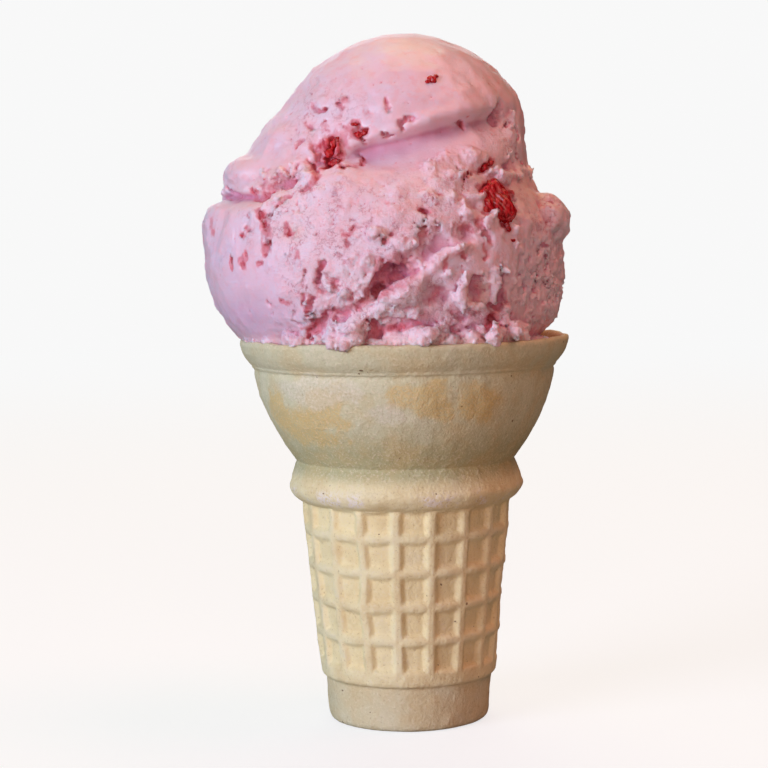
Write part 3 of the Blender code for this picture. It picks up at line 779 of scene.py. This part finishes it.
# The big hole torn in the middle, deepest at its lower left and under its right-hand edge.
gouge([(-1, 96), (-2, 94.5), (-3, 93.5)], [2.9, 3.2, 2.6], [3.4, 4.1, 3.6], 0.3, 0.3, 1.2)
gouge([(-3.5, 96.5), (-4, 93.5), (-5, 91.5)], [1.9, 2.5, 2.2], [2.5, 3.3, 2.9], 0.3, 0.4, 1.2)
gouge([(1, 97), (0.5, 95), (-0.5, 93), (-1.5, 92.5)],
      [1.6, 1.9, 1.8, 1.2], [2.3, 2.7, 2.6, 1.8], 0.2, 0.3, 0.8)
carve(on_front([(-0.5, 96), (-0.5, 94.5), (-1.5, 93)], -3.6), [1.3, 1.5, 1.1], 0.2, 0.3, 0.8)
carve(on_front([(-4.5, 91.5), (-5, 90.5), (-6, 89.5)], -2.9), [1.5, 1.9, 1.2], 0.2, 0.5, 0.9)
gouge([(-6.5, 91.5), (-8, 90), (-9, 89), (-9, 88)],
      [1.1, 1, 0.7, 0.4], [2.4, 2.2, 1.8, 1], 0.3, 0.5, 1.1)
gouge([(-9, 88.5), (-11, 88), (-13.5, 87.5), (-15.5, 86.5), (-16.5, 85.5)],
      [0.7, 0.5, 0.5, 0.7, 0.9], [1.8, 1.4, 1.4, 1.6, 2.6], 0.2, 0.5, 0.9)
gouge([(-16.5, 85.5), (-17.5, 84.5), (-19, 83.5), (-19.5, 82)],
      [0.9, 0.6, 0.7, 0.5], [2.8, 1.8, 1.8, 1.4], 0.2, 0.7, 0.9)
gouge([(-13.5, 86.5), (-13, 85), (-12, 85)], 0.35, 1, 0.2, 0.5, 0.6)
gouge([(-8, 86), (-6.5, 86), (-5.5, 84.5), (-5, 82.5)],
      [0.6, 1, 1, 0.8], [1.2, 2.2, 2.4, 2], 0.3, 0.5, 1.2)
gouge([(-5, 82.5), (-4.5, 83), (-3.5, 84)], [0.5, 0.6, 0.6], 1.8, 0.2, 0.7, 0.8)
gouge([(-2.5, 84), (-0.5, 84.5), (1, 84.5), (2.5, 84.5)],
      [0.4, 0.5, 0.5, 0.5], [1, 1.4, 1.6, 1.4], 0.2, 0.7, 0.7)
gouge([(6.5, 91.5), (6.5, 89.5)], [0.5, 0.6], [0.8, 1.2], 0.3, 0.7, 0.9)
# The large smooth clot right of the hole, its hollow side and the clots under it.
heap_up([(-1, 90.5), (1, 91.5), (3, 93)], [2.2, 2.6, 2], [1.4, 1.7, 1.2], 0.9)
heap_up([(-3.5, 90), (-2, 89.5)], 1.5, 0.9, 0.5)
heap_up([(-5.5, 87.5), (-3, 88), (-0.5, 87.5)], [1.2, 1.4, 1.2], 0.8, 0.4)
heap_up([(-5, 97), (-7, 97.5)], 1.4, 0.5, 0.7)
heap_up([(-2.5, 98), (-1, 98)], 1.2, 0.6, 0.5)
gouge([(5.5, 92.5), (7, 89.5), (6.5, 87)], [2.6, 3, 2.6], [0.6, 1, 0.8], 1.4)
# The groove the scoop's edge dragged up to the right, and the lit ridge under it.
gouge([(2, 98), (5, 99.5), (8.5, 101), (11.5, 102), (14, 103)],
      [3, 3.4, 3.2, 2.8, 2.2], [1.3, 1.9, 1.8, 1.4, 0.7], 1.2)
heap_up([(6.5, 96.5), (9, 98.5), (12.5, 100)], [1.1, 1.2, 1], [0.7, 0.8, 0.6], 0.9)
heap_up([(2, 100.5), (-1, 101), (-3.5, 99.5)], [1.4, 1.4, 1], [0.7, 0.6, 0.4], 1)
# The upright flake, the tan hollow behind it and the clot at its foot.
gouge([(15, 93), (15, 91.5), (14.5, 90)], [1.4, 1.6, 1.1], [1.6, 2, 1.6], 0.3)
heap_up([(12, 95), (11.5, 93), (11, 90.5), (11, 88)],
        [0.35, 0.8, 1.3, 1.2], [0.9, 1.4, 1.8, 1.5], 0.3)
heap_up([(10.5, 90), (10, 89.5)], 1, 1, 0.3)
heap_up([(13.5, 88.5), (15, 88.5)], 1.1, 1.2, 0.3)
gouge([(9.5, 87.5), (11.5, 86), (14, 86.5)], [0.7, 0.9, 0.8], [1, 1.6, 1.4], 0.4, 0.25, 0.8)
# The broken side on the right, standing back behind a ragged plate.
heap_up([(18, 95.5), (18, 93.5), (18, 91.5)], [1, 1.2, 1], 0.9, 0.4)
heap_up([(18, 90), (18.5, 89)], 0.9, 0.9, 0.3)
gouge([(19, 96), (19.5, 94.5)], 0.6, 2, 0.2, 0.15, 0.8)
gouge([(19.5, 93.5), (19.5, 91.5), (20, 89.5)], [1.2, 1.4, 1.4], [2.2, 2.8, 2.8], 0.4, 0.15, 1)
gouge([(17.5, 88.5), (19, 87.5), (21, 88)], [0.7, 1.1, 0.8], [1.6, 2.6, 1.8], 0.3, 0.3, 0.9)
gouge([(17.5, 85.5), (18, 84.5), (19, 84)], [1, 1.3, 0.8], [2, 2.8, 1.8], 0.2, 0.9, 1)
gouge([(22, 87), (22, 86)], 0.45, 1.5, 0.2, 0.4, 0.6)
heap_up([(21, 87), (20.5, 85)], 1.4, 0.9, 0.4)
heap_up([(22.5, 103), (22.5, 101), (23.5, 98.5)], [0.5, 0.65, 0.5], [0.5, 0.8, 0.5], 0.3)
heap_up([(22, 95.5), (21.5, 92), (21, 90)], [0.6, 0.8, 0.7], [0.2, 0.5, 0.4], 0.6)
heap_up([(27.5, 96.5), (28.5, 94), (30, 91.5)], [0.5, 0.6, 0.5], 0.6, 0.4)
gouge([(29.5, 100), (28, 99.5), (27.5, 97.5)], [0.5, 0.6, 0.5], 1.2, 0.3, 0.2, 0.7)
heap_up([(24, 107), (25, 104.5)], 1.2, 0.5, 0.8)
heap_up([(30, 107), (30.5, 104.5), (29.5, 102)], [1.6, 1.7, 1.3], 0.8, 0.8)
# Clots squeezed out over the rim.
heap_up([(-13, 84.5), (-10, 85), (-8.5, 84)], [1.8, 2.4, 1.8], [2.4, 3, 2.6], 0.3)
heap_up([(-11.5, 82.5), (-9.5, 82.5)], [2.1, 2.3], [2.8, 3.1], 0.3)
heap_up([(-11, 81.5), (-9, 81.5)], [1.6, 1.7], [2.4, 2.6], 0.3)
heap_up([(-14.5, 83), (-13.5, 82)], [1.4, 1.2], 1.4, 0.3)
heap_up([(-17, 83), (-16, 82)], 1.2, 1.2, 0.3)
heap_up([(-1.5, 82.5), (0.5, 82.5)], [1.8, 2], 1.6, 0.3)
heap_up([(3, 83), (5, 82)], [1.6, 1.6], 1.5, 0.3)
heap_up([(4, 81), (6, 81)], [1.3, 1.2], 1.9, 0.2)
heap_up([(7.5, 83.5), (7.5, 81.5)], [1.6, 1.4], 1.6, 0.3)
heap_up([(10.5, 82.5), (12.5, 81.5)], 1.3, 1.4, 0.25)
heap_up([(14.5, 82.5), (16.5, 81.5)], [1.6, 1.5], 1.6, 0.25)
heap_up([(18, 83.5), (19.5, 83)], [1.8, 1.6], [2.2, 2.2], 0.25)
heap_up([(21.5, 83), (23.5, 83)], [2, 1.9], [2.4, 2.2], 0.25)
heap_up([(19.5, 81), (21, 80.5)], 1.3, 2, 0.2)

# A soft bead squeezed out along the rim when it was pressed down, and clots of it on the lip.
# Towards the back right it stays low inside the cup.
RIM_CLOTS = 120
BEAD_RADIUS = 31.4
for step in range(RIM_CLOTS):
    bearing = 2.0 * math.pi * (step + dice.uniform(-0.5, 0.5)) / RIM_CLOTS
    crowd = 0.5 + 0.5 * math.sin(5.0 * bearing + 0.6) * math.sin(11.0 * bearing + 2.0)
    size = (0.7 + 1.3 * dice.random() ** 1.5) * (0.5 + 0.8 * crowd)
    away = 31.5 + 0.7 * dice.random() + 0.7 * crowd
    spot = np.array([away * math.cos(bearing), away * math.sin(bearing), CUP_TOP + 0.35 * size])
    bead = np.array([BEAD_RADIUS * math.cos(bearing), BEAD_RADIUS * math.sin(bearing), CUP_TOP - 0.1])
    lean = np.array([0.96, 0.96, 1.0]) * spot + (0.0, 0.0, dice.uniform(0.0, 0.7))
    if spot[0] < 25.5 or spot[1] < -20.0:
        build_up([spot, lean], [size, 0.85 * size], 0.35)
        build_up([bead, bead + (0.0, 0.0, 0.3)], [1.2, 1.0], 0.8)
    else:
        low = np.array([0.93, 0.93, 1.0]) * bead - (0.0, 0.0, 3.6 - 0.4 * size)
        build_up([low, low + (0.0, 0.0, 0.3)], [2.2, 2.0], 1.2)

# Clots that hang over the lip in front.
for spot, size in [
    ((-14, -31.5, 82), 1.5),
    ((-11.5, -32.5, 81.5), 2.0),
    ((-9, -33, 82.5), 1.7),
    ((4, -34, 81.5), 1.3),
    ((5.5, -34, 82.5), 1.5),
    ((17.5, -29.5, 82.5), 1.6),
    ((22, -26, 82.5), 1.9),
]:
    build_up([spot, np.add(spot, (0.5, 1.2, 1.0))], [size, 0.8 * size], 0.4)

# Inside the cup's mouth it is trimmed to the wall, over the lip it hangs no lower than the rim's
# edge, and its hidden underside is closed off.
WALL_CLEARANCE = 0.15
UNDERSIDE = 75.0
mouth = 30.0 + 2.6 * np.clip((Z - 75.0) / 4.5, 0.0, 1.0) - WALL_CLEARANCE
from_axis = np.sqrt(X * X + Y * Y)
outside = np.minimum(np.minimum(from_axis - mouth, CUP_TOP - 0.3 - Z), RIM_RADIUS + 0.3 - from_axis)
scoop = np.maximum(np.maximum(scoop, outside), UNDERSIDE - Z)


def skin_mesh(field, low, spacing):
    """The field's zero surface as quads: one point in each cell that the surface crosses."""
    inside = field < 0.0
    cells = tuple(n - 1 for n in field.shape)
    corners = [
        tuple(slice(o, o + n) for o, n in zip((c & 1, c >> 1 & 1, c >> 2 & 1), cells))
        for c in range(8)
    ]
    filled = sum(inside[c].astype(np.uint8) for c in corners)
    active = np.flatnonzero((filled > 0) & (filled < 8))
    spots = np.stack(np.unravel_index(active, cells), axis=1)
    values = np.stack([field[c].reshape(-1)[active] for c in corners], axis=1)
    total = np.zeros((len(active), 3))
    hits = np.zeros(len(active))
    for a in range(8):
        for axis in range(3):
            b = a | 1 << axis
            if a == b:
                continue
            crossed = (values[:, a] < 0) != (values[:, b] < 0)
            share = values[:, a] / np.where(crossed, values[:, a] - values[:, b], 1.0)
            spot = np.tile([a & 1, a >> 1 & 1, a >> 2 & 1], (len(active), 1)).astype(float)
            spot[:, axis] += share
            total += np.where(crossed[:, None], spot, 0.0)
            hits += crossed
    points = low + spacing * (spots + total / hits[:, None])
    number = np.full(cells, -1, np.int64)
    number.reshape(-1)[active] = np.arange(len(active))
    quads = []
    for axis in range(3):
        u, v = [(1, 2), (2, 0), (0, 1)][axis]
        span = [slice(1, n) for n in cells]
        span[axis] = slice(0, cells[axis])
        ahead = list(span)
        ahead[axis] = slice(1, cells[axis] + 1)
        here, there = inside[tuple(span)], inside[tuple(ahead)]
        for solid_first, way in ((True, 1), (False, -1)):
            edge = np.stack(np.nonzero((here == solid_first) & (there != solid_first)), axis=1)
            edge += [s.start for s in span]
            ring = []
            for du, dv in [(0, 0), (-1, 0), (-1, -1), (0, -1)][::way]:
                cell = edge.copy()
                cell[:, u] += du
                cell[:, v] += dv
                ring.append(number[cell[:, 0], cell[:, 1], cell[:, 2]])
            quads.append(np.stack(ring, axis=1))
    return points, np.concatenate(quads)


def largest_body(points, faces):
    """Drops loose specks, keeping the one connected body with the most points."""
    label = np.arange(len(points))
    ends = np.concatenate([faces[:, [0, 1]], faces[:, [1, 2]], faces[:, [2, 3]]])
    while True:
        low = np.minimum(label[ends[:, 0]], label[ends[:, 1]])
        fresh = label.copy()
        np.minimum.at(fresh, ends[:, 0], low)
        np.minimum.at(fresh, ends[:, 1], low)
        fresh = fresh[fresh]
        if (fresh == label).all():
            break
        label = fresh
    keep = label == np.bincount(label).argmax()
    number = np.cumsum(keep) - 1
    return points[keep], number[faces[keep[faces[:, 0]]]]


points, faces = largest_body(*skin_mesh(scoop, SCOOP_LOW, GRAIN))
cream = mesh_object("ice_cream_scoop", points, faces.tolist())
MOST_TRIANGLES = 190000
thin = cream.modifiers.new("Thin", "DECIMATE")
thin.ratio = min(1.0, MOST_TRIANGLES / (2 * len(faces)))
graph = bpy.context.evaluated_depsgraph_get()
cream.data = bpy.data.meshes.new_from_object(cream.evaluated_get(graph))
cream.modifiers.clear()
cream.data.shade_smooth()
skin = np.empty(len(cream.data.vertices) * 3)
cream.data.vertices.foreach_get("co", skin)
skin = skin.reshape(-1, 3) / MM
add_attribute(cream, "sunk", np.clip(-scoop_shape(*skin.T), -1.0, 4.0))
add_attribute(cream, "juice", sample(stain, SCOOP_LOW, GRAIN, skin))
add_attribute(cream, "torn", np.minimum(amount(PITTED, *skin.T) * 0.7 + amount(CRUMBLY, *skin.T), 1.0))
add_attribute(cream, "peachy", amount(PEACHY, *skin.T))
add_attribute(cream, "wiped_and_shaded", amount(WIPED_AND_SHADED, *skin.T))
# How far each place lies in a dent, from how much ice cream crowds round it at two reaches.
pitch = squared_pitch(whole_counts, GRAIN)
waves = np.fft.rfftn(np.clip(0.5 - scoop / GRAIN, 0.0, 1.0))
for name, reach in (("crevice", 0.75), ("hollow", 2.4)):
    crowding = np.fft.irfftn(waves * np.exp(-2.0 * (math.pi * reach) ** 2 * pitch), whole_counts)
    add_attribute(cream, name, 2.0 * sample(crowding, SCOOP_LOW, GRAIN, skin) - 1.0)

ice = Nodes("strawberry_ice_cream", 237, 211, 227)
torn = ice.attribute("torn")
wiped_and_shaded = ice.attribute("wiped_and_shaded")
sunk = ice.attribute("sunk")
hollow = ice.attribute("hollow")
crevice = ice.attribute("crevice")
fine = ice.noise(0.8, 3.0, 0.62)
ice.tint(torn, 247, 226, 238)
ice.tint(ice.remap(ice.noise(7.0, 3.0, 0.5), 0.35, 0.65, 0.0, 0.55), 241, 201, 209)
ice.tint(ice.remap(ice.noise(2.2, 3.0, 0.6), 0.5, 0.72, 0.0, 0.5), 240, 186, 196)
# Peach tints, partly painted warm light on the upper right and glow in the shade at the rim.
ice.tint(ice.times(ice.attribute("peachy"), 0.45), 246, 196, 170)
# Lavender over the smooth sides, deeper towards the bottom: painted cool shade under the lower roll.
ice.tint(ice.times(wiped_and_shaded, 0.4), 228, 198, 226)
painted_shade_low = ice.times(wiped_and_shaded, ice.remap(ice.height, 0.093, 0.083))
ice.tint(ice.times(painted_shade_low, 0.65), 204, 170, 212)
# Thin red veins, along lines where the noise crosses its middle.
crooked = ice.maths("ABSOLUTE", ice.maths("SUBTRACT", ice.noise(1.7, 4.0, 0.62), 0.5))
in_patches = ice.times(ice.remap(ice.noise(3.4, 2.0, 0.5), 0.48, 0.6), ice.remap(torn, 0.05, 0.5))
veins = ice.times(ice.remap(crooked, 0.026, 0.006), in_patches)
ice.tint(ice.times(veins, 0.55), 212, 122, 150)
# Painted shade: darker and deeper pink in the dents, hollows and crevices, where less light reaches.
ice.tint(ice.remap(sunk, 0.3, 3.0, 0.0, 0.35), 230, 160, 182)
ice.tint(ice.remap(sunk, 2.4, 5.0, 0.0, 0.8), 150, 76, 112)
ice.tint(ice.remap(hollow, 0.02, 0.36, 0.0, 0.7), 202, 134, 168)
ice.tint(ice.remap(crevice, 0.06, 0.4, 0.0, 0.55), 222, 138, 168)
ice.tint(ice.remap(crevice, 0.45, 0.9, 0.0, 0.6), 160, 70, 104)
# Painted light, partly frost: paler on the crumbs and edges that stand out.
ice.tint(ice.remap(crevice, -0.06, -0.5, 0.0, 0.55), 247, 226, 238)
flecks = ice.times(ice.remap(fine, 0.6, 0.68), ice.remap(torn, 0.0, 0.6, 0.04, 0.35))
ice.tint(flecks, 228, 138, 154)
uneven = ice.remap(ice.noise(1.5, 2.0, 0.5), 0.3, 0.7, 0.7, 1.3)
juice = ice.times(ice.attribute("juice"), uneven, True)
ice.tint(ice.remap(juice, 0.06, 0.5, 0.0, 0.75), 222, 122, 138)
ice.tint(ice.remap(juice, 0.5, 1.0, 0.0, 0.85), 192, 44, 62)
# Frost, veins, crumbs and the streaks that the scoop drew, one bump on another.
drag = ice.noise(0.9, 3.0, 0.5, ice.stretched((1.0, 1.0, 0.1), (0.25, 0.35, 0.0)))
level_drag = ice.noise(0.8, 2.0, 0.5, ice.stretched((0.08, 0.08, 1.0), (0.0, -0.12, 0.0)))
frost = ice.times(ice.noise(0.45, 3.0, 0.65), ice.remap(torn, 0.0, 0.6, 0.15, 1.0))
frosty = ice.bump(frost, 0.3, 0.7)
cracked = ice.bump(ice.maths("SUBTRACT", 1.0, veins), 0.3, 0.8, frosty)
rough = ice.bump(ice.times(fine, torn), 0.45, 0.7, cracked)
dragged = ice.bump(ice.times(drag, ice.maths("SUBTRACT", 1.0, wiped_and_shaded)), 0.1, 0.35, rough)
ice.surface({
    "Roughness": ice.remap(torn, 0.0, 1.0, 0.34, 0.52),
    "Specular IOR Level": 0.45,
    "Subsurface Weight": 0.75,
    "Subsurface Radius": (1.0, 0.5, 0.5),
    "Subsurface Scale": 0.0016,
    "Normal": ice.bump(ice.times(level_drag, wiped_and_shaded), 0.16, 0.5, dragged),
})
cream.data.materials.append(ice.material)
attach(cream, "root")
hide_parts("ice_cream")

# ---------------------------------------------------------------------------
# The strawberry. Frozen fruit that was churned into the ice cream: one large
# piece torn open by the scoop and bedded in the front, and small shreds of pulp
# in the gash, on the top turn and about the large piece. Wet, dark and fibrous.
# ---------------------------------------------------------------------------
fruit_low, fruit_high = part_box("strawberry_piece")
FRUIT_BEDDING = (-0.4, 1.2, 0.1)
FRUIT_MIDDLE = [(a + b) / 2 / MM for a, b in zip(fruit_low, fruit_high)]
FRUIT_HALF = [(b - a) / 2 / MM for a, b in zip(fruit_low, fruit_high)]


def torn_fruit(middle, half, lean, detail, shreds, seed):
    """One torn lump of fruit: a leaning egg, dented at two scales and drawn out in fibres."""
    sheet = bmesh.new()
    bmesh.ops.create_icosphere(sheet, subdivisions=detail, radius=1.0)
    turn = Euler((0.0, math.radians(lean), 0.0)).to_matrix()
    size = min(half)
    for vert in sheet.verts:
        way = vert.co.normalized()
        spot = Vector([w * h for w, h in zip(way, half)])
        drawn = Vector((spot.x + 0.5 * spot.z, spot.y, 0.25 * spot.z))
        dent = noise.noise(spot / (0.9 * size) + Vector((seed, 0.0, 0.0)))
        fine_dent = noise.noise(spot / (0.3 * size) + Vector((0.0, seed, 0.0)))
        fibre = noise.noise(drawn * 1.3 + Vector((0.0, 0.0, seed)))
        grow = 1.0 + 0.36 * dent + 0.04 * fine_dent + shreds * fibre / size
        vert.co = Vector(middle) + turn @ (spot * grow)
    points = [tuple(v.co) for v in sheet.verts]
    faces = [tuple(v.index for v in face.verts) for face in sheet.faces]
    sheet.free()
    return points, faces


def joined_mesh(name, lumps):
    """One mesh object from several lumps of (points, faces)."""
    points, faces = [], []
    for some_points, some_faces in lumps:
        faces += [tuple(i + len(points) for i in face) for face in some_faces]
        points += some_points
    return mesh_object(name, points, faces)


# Each shred: place on the front, half-axes, lean in degrees and how far it stands off the skin.
SHREDS = [
    ((6.4, 133.0), (1.0, 0.6, 0.8), 20, -0.05),
    ((5.6, 132.6), (0.6, 0.5, 0.4), -30, 0.0),
    ((7.2, 133.7), (0.5, 0.4, 0.35), 10, 0.0),
    ((-13.4, 120.4), (0.7, 0.6, 1.5), 22, -0.2),
    ((-14.3, 118.6), (1.0, 0.7, 0.9), 55, -0.2),
    ((-13.0, 116.9), (1.3, 0.7, 0.8), -15, -0.2),
    ((-12.2, 118.3), (0.6, 0.5, 0.8), 10, -0.3),
    ((-12.6, 121.2), (0.8, 0.6, 0.9), 30, -0.3),
    ((-9.2, 124.3), (0.7, 0.5, 0.4), 10, -0.3),
    ((-8.4, 122.3), (0.9, 0.5, 0.6), -20, -0.4),
    ((-7.2, 122.6), (0.6, 0.5, 0.5), 40, -0.3),
    ((16.6, 115.4), (0.6, 0.5, 1.0), 50, -0.3),
    ((17.8, 116.2), (0.8, 0.5, 0.5), -30, -0.3),
    ((13.2, 113.3), (0.7, 0.5, 0.8), 30, -0.4),
    ((20.9, 103.6), (0.6, 0.5, 1.2), -25, -0.2),
    ((21.8, 100.9), (0.45, 0.35, 0.3), 0, 0.0),
]
fruit_middle = np.add(FRUIT_MIDDLE, FRUIT_BEDDING)
fruit = joined_mesh("strawberry_piece_torn", [torn_fruit(fruit_middle, FRUIT_HALF, -12, 6, 0.5, 3.0)])
places = on_front([place for place, *_ in SHREDS], [lift for *_, lift in SHREDS])
shred_lumps = [
    torn_fruit(middle, half, lean, 4, 0.12, 5.0 + 1.7 * i)
    for i, (middle, (_, half, lean, _)) in enumerate(zip(places, SHREDS))
]
shreds = joined_mesh("strawberry_shreds", shred_lumps)
pulp = Nodes("strawberry_flesh", 130, 4, 12)
strands = pulp.noise(0.6, 3.0, 0.6, pulp.stretched((1.0, 1.0, 0.2), (0.0, 0.4, 0.0)))
pulp.tint(pulp.remap(strands, 0.35, 0.65), 198, 24, 36)
pulp.tint(pulp.remap(pulp.noise(1.8, 3.0, 0.6), 0.52, 0.7, 0.0, 0.5), 220, 92, 100)
pulp.surface({
    "Roughness": pulp.remap(strands, 0.3, 0.7, 0.16, 0.34),
    "Specular IOR Level": 0.5,
    "Subsurface Weight": 0.3,
    "Subsurface Radius": (1.0, 0.12, 0.1),
    "Subsurface Scale": 0.0012,
    "Normal": pulp.bump(strands, 0.18, 0.6),
})
for piece in (fruit, shreds):
    piece.data.materials.append(pulp.material)
    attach(piece, "root")
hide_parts("strawberry_piece")

# ---------------------------------------------------------------------------
# The studio. A round sweep of pale paper under and behind the cone, pale grey at
# its foot and whiter farther out, a large soft light low on the left, weaker ones
# in front, on the right and behind, and the camera a little above the middle.
# ---------------------------------------------------------------------------
FLOOR_RADIUS = 2.2
SWEEP_CURVE = 1.4
SWEEP_TOP = 4.0
SWEEP_COLUMNS = 96
CURVE_STEPS = 16
sweep_line = [(0.02, 0.0), (0.5, 0.0), (FLOOR_RADIUS, 0.0)]
for step in range(1, CURVE_STEPS + 1):
    turn = math.pi / 2 * step / CURVE_STEPS
    sweep_line.append((FLOOR_RADIUS + SWEEP_CURVE * math.sin(turn), SWEEP_CURVE * (1 - math.cos(turn))))
sweep_line.append((FLOOR_RADIUS + SWEEP_CURVE, SWEEP_TOP))
sweep_turns = [2 * math.pi * i / SWEEP_COLUMNS for i in range(SWEEP_COLUMNS)]
sweep_points = [
    (r * math.cos(turn) / MM, r * math.sin(turn) / MM, z / MM) for r, z in sweep_line for turn in sweep_turns
]
sweep_faces = [tuple(range(SWEEP_COLUMNS))]
for row in range(len(sweep_line) - 1):
    for i in range(SWEEP_COLUMNS):
        here, beside = row * SWEEP_COLUMNS + i, row * SWEEP_COLUMNS + (i + 1) % SWEEP_COLUMNS
        sweep_faces.append((here, here + SWEEP_COLUMNS, beside + SWEEP_COLUMNS, beside))
sweep = mesh_object("paper_sweep", sweep_points, sweep_faces)
FADE_START, FADE_END = 0.3, 1.3
paper = Nodes("pale_paper", 0, 0, 0)
seen = paper.add("ShaderNodeLightPath").outputs["Is Camera Ray"]
from_cone = paper.add("ShaderNodeVectorMath", {0: paper.place}, operation="LENGTH").outputs["Value"]
fade = paper.remap(from_cone, FADE_START, FADE_END)
near_tint, far_tint = (0.3, 0.32, 0.35, 1.0), (0.0, 0.0, 0.0, 1.0)
paper.base = paper.mix(seen, (0.3, 0.3, 0.3, 1.0), paper.mix(fade, near_tint, far_tint))
paper.surface({
    "Roughness": 0.9,
    "Specular IOR Level": 0.0,
    "Emission Color": (1.0, 1.0, 1.0, 1.0),
    "Emission Strength": paper.times(seen, paper.remap(from_cone, FADE_START, FADE_END, 0.74, 0.94)),
})
sweep.data.materials.append(paper.material)


def soft_light(name, bearing, rise, watts, tint, distance=1.4, size=0.9):
    """A round soft light aimed at the cone; bearing 0 is the camera's side, 90 the right."""
    turn, up = math.radians(bearing), math.radians(rise)
    away = Vector((math.sin(turn) * math.cos(up), -math.cos(turn) * math.cos(up), math.sin(up)))
    light = bpy.data.lights.new(name, "AREA")
    light.shape = "DISK"
    light.size = size
    light.energy = watts
    light.color = tint
    lamp = bpy.data.objects.new(name, light)
    lamp.location = Vector((0.0, 0.0, 0.08)) + distance * away
    lamp.rotation_euler = away.to_track_quat("Z", "Y").to_euler()
    bpy.context.scene.collection.objects.link(lamp)


soft_light("key", -50, 12, 17.3, (0.75, 0.82, 1.0))
soft_light("front", 5, 12, 6.3, (1.0, 0.6, 0.5))
soft_light("warm_side", 90, 65, 7.8, (1.0, 0.43, 0.31))
soft_light("behind", 180, 65, 4.7, (1.0, 0.92, 0.4))
soft_light("back_fill", 185, 18, 5.5, (0.86, 0.92, 1.0), 1.6, 1.2)
world = bpy.data.worlds.new("room")
bpy.context.scene.world = world
world.use_nodes = True
world.node_tree.nodes["Background"].inputs["Strength"].default_value = 0.0

EYE_DISTANCE = 0.435
EYE_HEIGHT = 0.1055
LOOK_DOWN = math.radians(4.56)
LOOK_LEFT = math.radians(0.567)
HEAD_TILT = math.radians(-0.9)
camera_data = bpy.data.cameras.new("camera")
camera_data.sensor_width = 36.0
camera_data.lens = 96.95
camera_data.clip_start = 0.01
camera = bpy.data.objects.new("camera", camera_data)
bpy.context.scene.collection.objects.link(camera)
aim = Euler((math.pi / 2 - LOOK_DOWN, 0.0, LOOK_LEFT), "XYZ").to_matrix().to_4x4()
eye = Matrix.Translation((0.0, -EYE_DISTANCE, EYE_HEIGHT))
camera.matrix_world = eye @ aim @ Matrix.Rotation(HEAD_TILT, 4, "Z")
bpy.context.scene.camera = camera
bpy.context.scene.view_settings.view_transform = "Standard"
